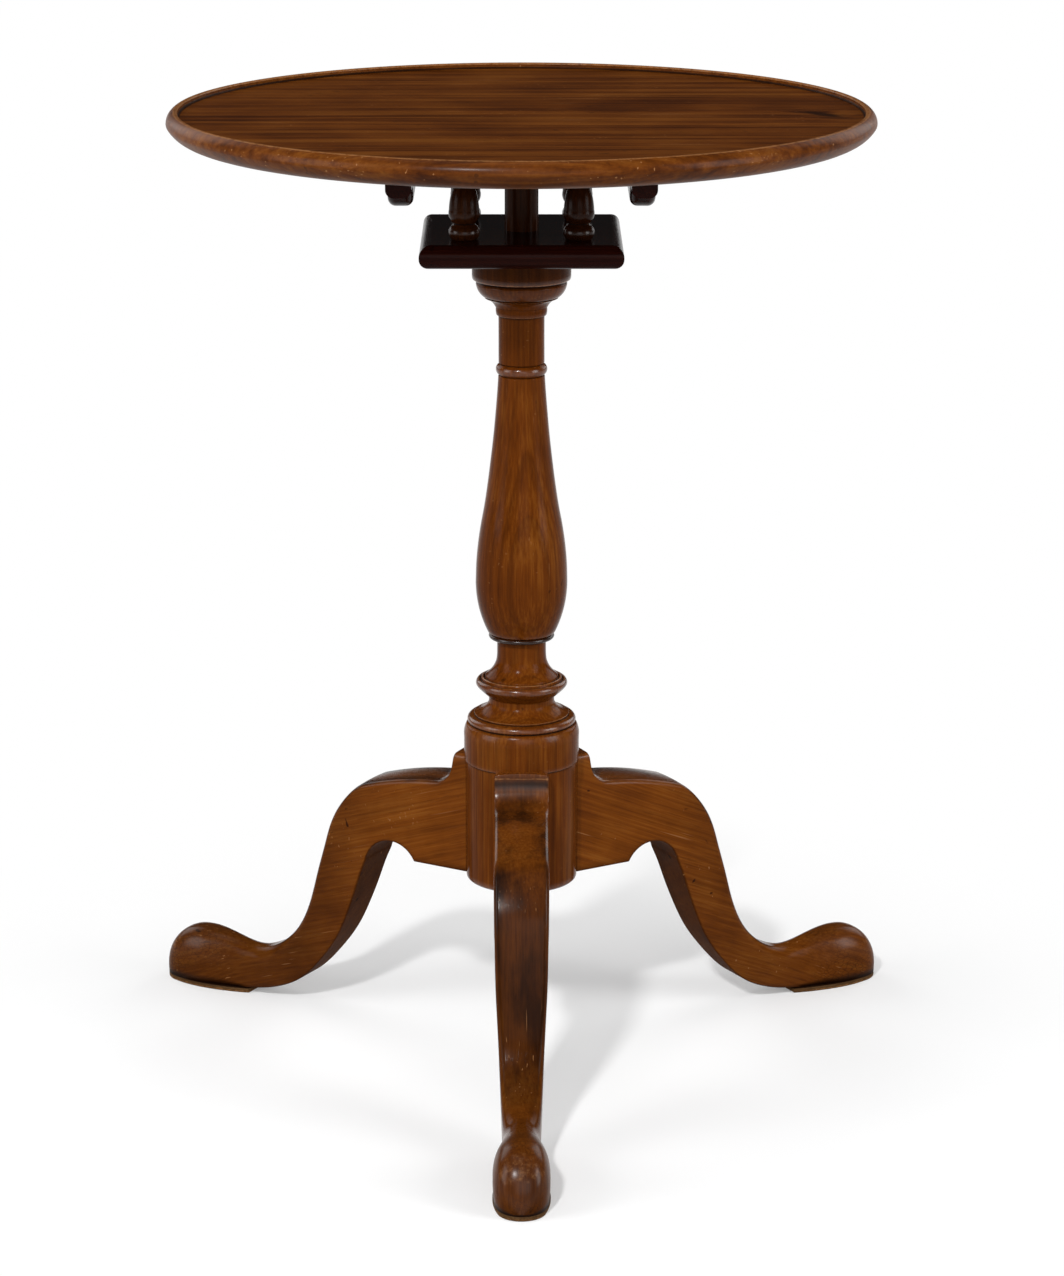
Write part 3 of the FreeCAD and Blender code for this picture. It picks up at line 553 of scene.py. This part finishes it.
column = {
    "profile": [
        (0, 137.5, 0), (38.6, 137.5, 0.88), (41.6, 140.5, 0), (41.6, 230.4, 0, 0.2), (41.1, 230.9, 0, 0.2),
        (42.9, 231.2, 0, 0.6), (42.9, 248, 0.9, 4.0), (41.1, 259.4, 0, 1.5), (39.0, 260.1, 0, 0.3),
        (39.0, 260.9, 0, 0.2), (40.2, 261.4, 1.5, 0.8), (37.0, 266.0, 0, 0.8), (35.0, 266.3, 0, 0.3),
        (34.9, 267.1, 0, 0.2), (35.5, 267.7, -1.9, 0.5), (24.3, 276.3, 0, 0.8), (24.3, 280.3, 0.2, 0.8),
        (33.6, 288.8, 1.3, 1.2), (31.8, 293.9, 0, 0.4), (31.0, 292.9, 0, 0.2), (30.2, 293.4, 0, 0.2),
        (29.8, 294.9, 0.2, 0.3), (28.6, 295.5, 0, 0.3), (27.9, 294.6, 0, 0.2), (27.2, 295.0, 0, 0.2),
        (26.9, 296.6, -2.1, 0.3), (18.2, 311.9, 0, 3.0), (18.2, 325.0, 0, 0.3), (22.6, 325.3, 1.7, 0.5),
        (22.9, 328.9, 0, 0.3), (21.8, 329.3, 0, 0.2), (24.9, 329.8, 2.9, 0.8), (33.9, 374.0, 1.2, 6.0),
        (27.7, 423.6, -1.2, 8.0), (17.1, 523.6, 0, 0.3), (16.2, 524.2, 0, 0.2), (17.0, 524.9, 1.9, 0.4),
        (17.0, 532.2, 0, 0.4), (15.9, 532.8, 0, 0.2), (16.8, 533.6, 0, 0.3), (16.8, 568.5, 0, 0.3),
        (18.3, 568.8, 0.3, 0.4), (18.6, 574.8, 0, 0.4), (19.2, 575.0, -1.1, 0.4), (27.0, 581.5, 0, 0.3),
        (25.7, 582.0, 0, 0.2), (25.9, 582.5, 0, 0.2), (28.2, 582.8, 1.1, 0.6), (33.2, 592.0, 0, 0.4),
        (32.0, 594.4, 0, 0.2), (34.5, 594.9, 0.44, 0.3), (36, 596.3, 0, 0.8), (36, 614, 0), (8.5, 614, 0),
        (8.5, 698.2, 0), (0, 698.2, 0),
    ],
    # painted shadow under the band's overhang (230.8) and in the groove under the abacus (593.6), painted
    # shade on the capital under the cage's lower block (604), a painted highlight on the abacus's lower
    # edge (595.7), and grime on the vase's foot bead (327.2)
    "marks": [
        ("grime", 327.2, 2.6, 0.95), ("grime", 230.8, 0.8, 0.7),
        ("grime", 604, 18, 0.64), ("grime", 593.6, 1.6, 0.8),
        ("wear", 595.7, 0.5, 0.9),
    ],
    "segments": 136, "soften": 0.4, "step": 2.4, "wobble": 0.06, "barrel": 41.6,
    # reach and half width of the leg sockets' ends and of the key's mortise, and their heights
    "socketRoot": (24.55, 11.05), "socketMouth": (44.6, 6.9), "socketHeight": (130.0, 140.0),
    "mortise": (10.0, 3.1), "mortiseHeight": (661.5, 671.5),
}
legTurns = {"front": -90.0, "right": 30.0, "left": 150.0}


def turnedAbout(points, degrees):
    # a turn about the column's axis
    angle = math.radians(degrees)
    cosine, sine = math.cos(angle), math.sin(angle)
    return points @ np.array([[cosine, sine, 0], [-sine, cosine, 0], [0, 0, 1]])


def prism(near, nearHalf, far, farHalf, low, high):
    # the eight corners of an upright prism whose width goes from twice nearHalf to twice farHalf
    base = [(near, -nearHalf), (far, -farHalf), (far, farHalf), (near, nearHalf)]
    return np.array([(*corner, level) for level in (low, high) for corner in base], float)


def cutAway(piece, prisms):
    # a Boolean takes these prisms out of the piece, and then the cutter goes
    box = np.array([(3, 2, 1, 0), (4, 5, 6, 7), (0, 1, 5, 4), (1, 2, 6, 5), (2, 3, 7, 6), (3, 0, 4, 7)])
    faces = np.vstack([box + 8 * index for index in range(len(prisms))])
    mesh = bpy.data.meshes.new("cutter")
    mesh.from_pydata((np.vstack(prisms) * mm).tolist(), [], faces.tolist())
    cutter = bpy.data.objects.new("cutter", mesh)
    bpy.context.scene.collection.objects.link(cutter)
    modifier = piece.modifiers.new("cut", "BOOLEAN")
    modifier.operation = "DIFFERENCE"
    modifier.solver = "EXACT"
    modifier.object = cutter
    ready = piece.evaluated_get(bpy.context.evaluated_depsgraph_get())
    carved = bpy.data.meshes.new_from_object(ready)
    piece.modifiers.clear()
    piece.data = carved
    bpy.data.objects.remove(cutter)


columnProfile = outline(column["profile"], column["soften"], column["step"])
post = turnedPiece("turned_column", columnProfile, column["segments"], "stand", "column",
                   columnWood, wobble=column["wobble"], marks=column["marks"])
socket = prism(*column["socketRoot"], *column["socketMouth"], *column["socketHeight"])
mortiseReach, mortiseHalf = column["mortise"]
mortise = prism(-mortiseReach, mortiseHalf, mortiseReach, mortiseHalf, *column["mortiseHeight"])
cutAway(post, [turnedAbout(socket, turn) for turn in legTurns.values()] + [mortise])
print("column")


# Cage: the pillars are turned anew, and the other pieces of the cage keep their solids

pillar = {
    "profile": [
        (0, 614.5, 0), (5, 614.5, 0), (5, 631, 0), (8.4, 631, 2.7), (8.4, 641.2, 0), (7.6, 642.6, 1.5),
        (10.8, 652.2, 0.9), (6.6, 671.6, -0.3), (7.4, 675.8, 1.6), (7.4, 682.2, 0), (5, 682.2, 0),
        (5, 698.7, 0), (0, 698.7, 0),
    ],
    "places": {
        "front_left": (-40.8, -40.8), "front_right": (40.8, -40.8),
        "back_left": (-40.8, 40.8), "back_right": (40.8, 40.8),
    },
    "segments": 72, "soften": 0.3, "step": 0.7, "wobble": 0.05,
}
pillarProfile = outline(pillar["profile"], pillar["soften"], pillar["step"])
for place, centre in pillar["places"].items():
    turnedPiece("turned_pillar_" + place, pillarProfile, pillar["segments"], "cage",
                "pillar_" + place, pillarWood, centre, pillar["wobble"])
print("pillars")

# the solids that keep their shapes, here and under the top and the feet
solidFinishes = {
    "lower_block": boardWood, "upper_block": boardWood, "collar": pillarWood, "wedge_key": boardWood,
    "pillar_wedges": pillarWood, "cleat_left": cleatWood, "cleat_right": cleatWood, "cleat_screws": iron,
    "sole_pins": iron, "bolt_case": brass, "slide_bolt": brass, "bolt_screws": brass,
    "strike_plate": brass, "strike_screws": brass,
}
for name, finish in solidFinishes.items():
    for place in nodes[name].material_slots:
        place.material = finish
print("carried-over solids:", len(solidFinishes))


# Legs

leg = {
    "width": 40.0, "arris": 1.6, "outerArris": 3.4, "ankleWidth": 27.4, "ankleRounding": 11.0,
    "over": [
        (36, 232.5, 0), (47.3, 232.5, 0, 0.9), (47.5, 229.5, 5.6, 0.9), (66, 207.4, -1.9, 4.0),
        (130, 194.3, 0),
    ],
    "under": [(36, 140, 0), (83.7, 140, -13.2), (125.4, 139, 0)],
    "overSoften": 0.9, "underSoften": 0.7, "step": 0.5, "crowd": 6.0,
    "reach": (130.0, 324.0), "rise": (4.0, 194.3),
    "shin": [  # outer and inner edge as shares of reach and rise, then shares of taper and of rounding
        ((0.125, 0.867), (-0.013, 0.680), 0.02, 0.03), ((0.181, 0.725), (0.009, 0.628), 0.10, 0.05),
        ((0.220, 0.597), (0.041, 0.539), 0.18, 0.07), ((0.254, 0.483), (0.085, 0.426), 0.34, 0.10),
        ((0.289, 0.393), (0.137, 0.318), 0.50, 0.14), ((0.349, 0.297), (0.222, 0.200), 0.67, 0.22),
        ((0.446, 0.215), (0.335, 0.089), 0.85, 0.45), ((0.552, 0.179), (0.495, 0.021), 1.00, 1.00),
    ],
    "heel": (258.0, 41.2, 30.0), "ball": (287.0, 45.5, 41.2), "toe": 324.0, "footRounding": 0.46,
    "flatFrom": 240.0, "toeFall": 2.6, "toeTaper": 3.5, "toeKnots": (0.0, 0.3, 0.55), "toeEnd": 0.9995,
    "headRows": 110, "joinRows": 12, "shinRows": 120, "toeRows": 30,
    "arrisMost": (0.4, 0.2), "roundingMost": (0.96, 0.7),  # shares of half the width and of the height
    "crown": 0.05, "tuck": 0.05, "domeRun": (208.0, 278.0), "domeUp": 0.55, "domeOut": 0.8,
    "grainTurns": {"front": 70.0, "right": 24.0, "left": 19.0}, "grainStep": 700, "grainHeart": (60, 240),
    "shinDarkening": {"front": 1.0, "right": 0.6, "left": 1.05},
}


def toeStations(shares):
    # beyond the ball: height falls as (1 - u^toeFall)^0.5 and width as (1 - u^toeTaper)^0.5, with u from
    # 0 at the ball to 1 at the toe
    reach, height, width = leg["ball"]
    base = leg["rise"][0]
    tall = (height - base) * (1 - shares ** leg["toeFall"]) ** 0.5
    wide = width * (1 - shares ** leg["toeTaper"]) ** 0.5
    at = reach + (leg["toe"] - reach) * shares
    rounding = leg["footRounding"] * np.minimum(wide, tall)
    return np.column_stack([at, base + tall, at, np.full(len(shares), base), wide, rounding])


def legStations():
    # rows of (outer x, outer z, inner x, inner z, width, rounding) from inside the column to the toe: the
    # head between its two outlines, a spline through the shin's stations, then the toe
    over = outline(leg["over"], leg["overSoften"], leg["step"])
    over = resampled(over, leg["headRows"], leg["crowd"])
    under = outline(leg["under"], leg["underSoften"], leg["step"])
    under = resampled(under, leg["headRows"], leg["crowd"])
    plain = np.tile([leg["width"], leg["outerArris"]], (leg["headRows"], 1))
    head = np.hstack([over, under, plain])
    (reach0, reach1), (rise0, rise1) = leg["reach"], leg["rise"]
    knots = [head[-2 * leg["joinRows"]], head[-leg["joinRows"]], head[-1]]
    for outer, inner, taper, growth in leg["shin"]:
        ends = [(reach0 + u * (reach1 - reach0), rise0 + v * (rise1 - rise0)) for u, v in (outer, inner)]
        width = leg["width"] + taper * (leg["ankleWidth"] - leg["width"])
        rounding = leg["outerArris"] + growth * (leg["ankleRounding"] - leg["outerArris"])
        knots.append([*ends[0], *ends[1], width, rounding])
    reach, height, width = leg["heel"]
    knots.append([reach, height, reach, rise0, width, leg["footRounding"] * width])
    knots = np.vstack([knots, toeStations(np.array(leg["toeKnots"]))])
    middles = (knots[:, :2] + knots[:, 2:4]) / 2
    measure = lengthsAlong(middles)
    at = np.linspace(measure[2], measure[-3], leg["shinRows"])[1:-1]
    shin = smoothCurve(measure, knots, at)
    shin[:, 3] = np.where(shin[:, 0] > leg["flatFrom"], np.maximum(shin[:, 3], rise0), shin[:, 3])
    shares = 1 - (1 - np.linspace(0, 1, leg["toeRows"])) ** 2
    return np.vstack([head, shin, toeStations(shares[:-1] * leg["toeEnd"])])


def legSections(stations):
    # across each station: a board section with small inner corners, rounded outer ones and a crowned
    # face, which turns towards the foot into a dome, across = half cos^domeOut(p) and
    # along = tall sin^domeUp(p), tucked in at its base
    outer, inner = stations[:, :2], stations[:, 2:4]
    tall = np.linalg.norm(outer - inner, axis=1)[:, None]
    half = stations[:, 4:5] / 2
    wideShare, tallShare = leg["arrisMost"]
    small = np.minimum(np.minimum(leg["arris"], half * wideShare), tall * tallShare)
    wideShare, tallShare = leg["roundingMost"]
    large = np.minimum(np.minimum(stations[:, 5:6], half * wideShare), tall * tallShare)
    # shares of each stretch of the section, closer together near its corners
    flat = np.concatenate([np.linspace(0, 0.85, 8), [0.94, 0.985]])
    side = np.concatenate([[0.012, 0.05], np.linspace(0.13, 0.87, 10), [0.95, 0.988]])
    inside = np.linspace(-math.pi / 2, 0, 6)
    outside = np.linspace(0, math.pi / 2, 12)
    back = np.concatenate([[0.985, 0.94], np.linspace(0.85, 0, 10)])
    across = [(half - small) * flat, half - small + small * np.cos(inside), half + 0 * side,
              half - large + large * np.cos(outside), (half - large) * back]
    along = [0 * half * flat, small + small * np.sin(inside), small + (tall - large - small) * side,
             tall - large + large * np.sin(outside), tall + 0 * back]
    across = np.hstack([part + np.zeros_like(half) for part in across])
    along = np.hstack([part + np.zeros_like(half) for part in along])
    crown = leg["crown"] * half * (1 - (across / half) ** 2)
    along = along + crown * smoothStep(0, 1, (along - (tall - large)) / np.maximum(large, 0.01))
    swing = np.linspace(0, math.pi / 2, across.shape[1] - len(flat))
    bulgeUp = tall * np.concatenate([0 * flat, np.sin(swing) ** leg["domeUp"]])
    bulgeOut = half * np.concatenate([flat, np.cos(swing) ** leg["domeOut"]])
    bulgeOut = bulgeOut * (1 - leg["tuck"] * (1 - bulgeUp / tall) ** 3)
    dome = smoothStep(*leg["domeRun"], (outer[:, :1] + inner[:, :1]) / 2)
    across = across + dome * (bulgeOut - across)
    along = along + dome * (bulgeUp - along)
    edge = np.sin(2 * outside) ** 4
    corner = np.concatenate([0 * flat, np.abs(np.sin(2 * inside)), 0 * side, edge, 0 * back])
    corner = corner * (1 - dome)
    across = np.hstack([across, -across[:, -2:0:-1]])
    along = np.hstack([along, along[:, -2:0:-1]])
    corner = np.hstack([corner, corner[:, -2:0:-1]])
    up = (outer - inner) / np.maximum(tall, 0.001)
    x = inner[:, :1] + along * up[:, :1]
    z = inner[:, 1:2] + along * up[:, 1:2]
    return np.stack([x, across, z], axis=-1), corner, along / tall


def legGrain(grid, degrees, offset):
    # straight fibres, turned down from level by this angle in the leg's own plane; the offset takes each
    # leg from another place, that far along the board and a seventh as far across
    angle = math.radians(degrees)
    along = grid[..., 0] * math.cos(angle) - grid[..., 2] * math.sin(angle)
    through = grid[..., 0] * math.sin(angle) + grid[..., 2] * math.cos(angle)
    beside, above = leg["grainHeart"]
    return np.stack([along + offset, grid[..., 1] + beside + offset / 7, through + above], axis=-1) * mm


# where the marks start and are full: reach and height in millimetres, and rise as a share of the way from
# the under face to the outer face
legMarks = {
    "outerFace": (0.93, 1), "faceStart": (44, 48), "faceEnd": (212, 245),
    "shin": (95, 190), "foot": (250, 275), "toe": (285, 312), "toeHeight": (14, 30),
    "toeWear": 0.63, "edgeWear": 0.55, "shinEdges": 0.6,
    "barrelGap": (0.1, 1.1), "barrelGrime": 0.9,
    "lipStart": (46.2, 46.8), "lipEnd": (49, 50), "lipLow": (230.0, 230.4), "lipHigh": (231.6, 232.2),
    "lipGrime": 0.25, "lipEdge": 229.5, "lipEdgeHalf": 0.7,
    # painted shade in the cove just under the lip
    "cove": 225.5, "coveHalf": 4.5, "coveEnd": (54, 58), "coveShadeAmount": 0.85,
    # a dark line above each sole, and each foot darker towards its bottom
    "soleStart": (235, 250), "soleHeight": (4.2, 5.6), "footLowDark": 0.45, "footLowDarkHeight": (5, 20),
    # blotches fade down the shin; the outer face takes painted shade
    "blotchEnd": (120, 190), "blotchFade": 0.8, "faceShade": 0.45,
    # the under faces are rougher and take painted shade
    "underRise": (0.0, 0.06), "underDark": 1.3,
    "handledFace": 0.8, "handledFoot": 0.5, "handledRise": (0.3, 0.9),
}


def legAttributes(grid, corner, rise):
    # each mark is a product of smooth steps in reach, height and rise, or a bell round one height
    m = legMarks
    reach = grid[..., 0]
    height = grid[..., 2]
    fromBarrel = np.hypot(reach, grid[..., 1]) - column["barrel"]
    nearBarrel = m["barrelGrime"] * (1 - smoothStep(*m["barrelGap"], fromBarrel))
    outerFace = smoothStep(*m["outerFace"], rise)
    onFoot = smoothStep(*m["foot"], reach)
    onToe = smoothStep(*m["toe"], reach) * smoothStep(*m["toeHeight"], height)
    onShin = smoothStep(*m["shin"], reach)
    onFace = outerFace * smoothStep(*m["faceStart"], reach) * (1 - smoothStep(*m["faceEnd"], reach))
    underFace = (1 - smoothStep(*m["underRise"], rise)) * (1 - onFoot)
    atLip = outerFace * smoothStep(*m["lipStart"], reach) * (1 - smoothStep(*m["lipEnd"], reach))
    lipFront = atLip * smoothStep(*m["lipLow"], height) * (1 - smoothStep(*m["lipHigh"], height))
    # a pale line on the lip's lower edge, partly wear and partly painted highlight
    lipEdge = atLip * np.exp(-((height - m["lipEdge"]) / m["lipEdgeHalf"]) ** 2)
    # painted shade in the cove under the lip
    coveShade = np.exp(-((height - m["cove"]) / m["coveHalf"]) ** 2)
    coveShade = outerFace * coveShade * (1 - smoothStep(*m["coveEnd"], reach))
    nearSole = (1 - smoothStep(*m["soleHeight"], height)) * smoothStep(*m["soleStart"], reach)
    # each foot darker towards its bottom
    footLowDark = m["footLowDark"] * onFoot * (1 - smoothStep(*m["footLowDarkHeight"], height))
    edges = m["edgeWear"] * corner * (1 - m["shinEdges"] * onShin) * (1 - onFoot)
    handledFoot = m["handledFoot"] * onFoot * smoothStep(*m["handledRise"], rise)
    # grime in the joints, each foot darker low down, and painted shade in the cove
    creases = footLowDark + nearBarrel + m["coveShadeAmount"] * coveShade + m["lipGrime"] * lipFront + nearSole
    attributes = {
        "wear": np.clip(edges + lipEdge + m["toeWear"] * onToe, 0, 1),
        "grime": np.clip(creases, 0, 1),
        "stained": onFace * (1 - m["blotchFade"] * smoothStep(*m["blotchEnd"], reach)),
        "crazed": onFoot,
        "dull": underFace,
        "polish": np.maximum(m["handledFace"] * outerFace * (1 - onShin), handledFoot),
    }
    # painted shade on the outer face, growing down the shin, and on the under faces
    darkened = np.maximum(onFace * (m["faceShade"] + onShin), m["underDark"] * underFace)
    return attributes, darkened, onShin


legGrid, legCorner, legRise = legSections(legStations())
legSurfaceMarks, legDarkened, onShin = legAttributes(legGrid, legCorner, legRise)
for index, (side, turn) in enumerate(legTurns.items()):
    # each shin darker towards the foot, by the leg's own amount
    attributes = {**legSurfaceMarks, "darkened": np.maximum(legDarkened, leg["shinDarkening"][side] * onShin)}
    attributes["grain"] = legGrain(legGrid, leg["grainTurns"][side], leg["grainStep"] * index)
    gridPiece("cabriole_leg_" + side, turnedAbout(legGrid, turn), "stand", "leg_" + side,
              legWood, attributes)
print("legs")


# Sole pads

sole = {
    "edge": [
        (243, -12, 1.7), (287, -20.1, 0.8), (310, -17, 13.5), (310, 17, 0.8), (287, 20.1, 1.7),
        (243, 12, 0), (243, -12, 0),
    ],
    "soften": 1.5, "step": 1.0, "points": 150, "middle": (281.0, 0.0), "proud": 1.01,
    "rings": [  # share of the edge, height
        (0.4, 0.0), (0.95, 0.0), (0.985, 0.15), (1.0, 0.7), (1.003, 2.0), (1.0, 3.2), (0.985, 3.8),
        (0.95, 3.95),
    ],
    "grimeHeight": (3.3, 3.95), "wearHeight": 1.2, "wearHalf": 1.2, "grainStep": 330,
}
soleEdge = resampled(outline(sole["edge"], sole["soften"], sole["step"]), sole["points"] + 1)[:-1]
soleMiddle = np.array(sole["middle"])
soleRings = []
for scale, height in sole["rings"]:
    ring = soleMiddle + (soleEdge - soleMiddle) * scale * sole["proud"]
    soleRings.append(np.column_stack([ring, np.full(len(ring), height)]))
soleGrid = np.stack(soleRings)
soleHeight = soleGrid[..., 2]
soleWorn = {
    "wear": np.exp(-((soleHeight - sole["wearHeight"]) / sole["wearHalf"]) ** 2),
    "grime": smoothStep(*sole["grimeHeight"], soleHeight),
}
for index, (side, turn) in enumerate(legTurns.items()):
    attributes = {**soleWorn, "grain": legGrain(soleGrid, 0, sole["grainStep"] * index)}
    gridPiece("sole_pad_" + side, turnedAbout(soleGrid, turn), "stand", "sole_" + side,
              soleWood, attributes)
print("soles")


# Floor, light and camera

stage = {
    "floorReach": 400.0, "floorColour": 0.94, "bounceColour": 0.4,
    "whiteNear": 0.22, "whiteFrom": 0.27, "whiteTo": 0.6,
    "skyFront": 0.3, "skyBack": 0.03, "skyTurn": (-0.5, 0.5), "skyColour": (0.97, 0.985, 1.0),
    "lamps": [
        {"name": "key", "at": (-0.9, -2.8, 2.6), "aim": (0, 0, 0.3), "size": (0.26, 0.26), "power": 80},
        {"name": "front", "at": (0.4, -3.4, 1.2), "aim": (0, 0, 0.4), "size": (2.0, 1.4), "power": 17},
        {"name": "left", "at": (-2.6, -1.0, 1.3), "aim": (0, 0, 0.35), "size": (1.4, 1.8), "power": 38},
        {"name": "right", "at": (2.6, -1.2, 1.3), "aim": (0, 0, 0.35), "size": (1.2, 1.8), "power": 48},
        {"name": "overhead", "at": (-0.4, 0.2, 3.2), "aim": (0, 0, 0.3), "size": (1.6, 1.6), "power": 8},
        {"name": "back left", "at": (-2.2, 2.4, 1.8), "aim": (0, 0, 0.35), "size": (2.0, 2.0), "power": 30},
        {"name": "back right", "at": (2.2, 2.4, 1.8), "aim": (0, 0, 0.35), "size": (2.0, 2.0), "power": 30},
    ],
}


def seenRays(w):
    # 1 for what the camera, a mirror or a glass shows, 0 for light on its way to a dull surface
    rays = ("Camera", "Glossy", "Transmission")
    return sum(w.node("LightPath", {}, {}, "Is " + ray + " Ray") for ray in rays)


def floorFinish():
    # pale board that keeps the shadows round the object and turns white further off; only the light that
    # it throws back on the object comes from a darker board, and from below it is clear
    finish, w = startFinish("pale_floor")
    place = w.node("TexCoord", {}, {}, "Object")
    away = w.node("VectorMath", {"operation": "LENGTH"}, {0: place}, "Value")
    seen = seenRays(w)
    colour = seen.blend(grey(stage["bounceColour"]), grey(stage["floorColour"]))
    board = w.node("BsdfDiffuse", {}, {"Color": colour})
    white = w.node("Emission", {}, {"Color": grey(1), "Strength": 1.0})
    far = away.step(stage["whiteFrom"], stage["whiteTo"])
    share = (stage["whiteNear"] + far * (1 - stage["whiteNear"])) * seen
    both = w.node("MixShader", {}, {0: share, 1: board, 2: white})
    below = w.node("NewGeometry", {}, {}, "Backfacing")
    clear = w.node("BsdfTransparent", {}, {})
    whole = w.node("MixShader", {}, {0: below, 1: both, 2: clear})
    w.node("OutputMaterial", {}, {"Surface": whole})
    return finish


reach = stage["floorReach"]
floorMesh = bpy.data.meshes.new("floor")
floorCorners = [(-reach, -reach, 0), (reach, -reach, 0), (reach, reach, 0), (-reach, reach, 0)]
floorMesh.from_pydata(floorCorners, [], [(0, 1, 2, 3)])
floorMesh.materials.append(floorFinish())
floor = bpy.data.objects.new("floor", floorMesh)
bpy.context.scene.collection.objects.link(floor)

world = bpy.data.worlds.new("studio")
world.use_nodes = True
world.node_tree.nodes.clear()
sky = Wire(world.node_tree)
direction = sky.node("TexCoord", {}, {}, "Generated")
front = (direction.apart()[1] * -1).step(*stage["skyTurn"])
level = stage["skyBack"] + front * (stage["skyFront"] - stage["skyBack"])
shade = sky.node("Background", {}, {"Color": opaque(stage["skyColour"]), "Strength": level})
sky.node("OutputWorld", {}, {"Surface": shade})
bpy.context.scene.world = world


def lookAt(thing, target):
    # a lamp shines down its own -z, so it is tipped up from there and then turned round to the target
    way = np.array(target, float) - np.array(thing.location)
    level = math.hypot(way[0], way[1])
    thing.rotation_euler = (math.pi / 2 + math.atan2(way[2], level), 0, math.atan2(-way[0], way[1]))


for lamp in stage["lamps"]:
    data = bpy.data.lights.new(lamp["name"], "AREA")
    data.shape = "RECTANGLE"
    data.size, data.size_y = lamp["size"]
    data.energy = lamp["power"]
    thing = bpy.data.objects.new(lamp["name"], data)
    thing.location = lamp["at"]
    lookAt(thing, lamp["aim"])
    bpy.context.scene.collection.objects.link(thing)

# pitch is in degrees, lens and sensor in millimetres, and shift is a share of the sensor
view = {"at": (0, -2.7673, 1.1101), "pitch": 74.15, "lens": 109.2, "sensor": 36, "shift": 0.0082}
eye = bpy.data.cameras.new("view")
eye.lens = view["lens"]
eye.sensor_width = view["sensor"]
eye.shift_x = view["shift"]
camera = bpy.data.objects.new("view", eye)
camera.location = view["at"]
camera.rotation_euler = (math.radians(view["pitch"]), 0, 0)
bpy.context.scene.collection.objects.link(camera)
bpy.context.scene.camera = camera
bpy.context.scene.view_settings.view_transform = "Standard"
print("floor, lamps and camera")
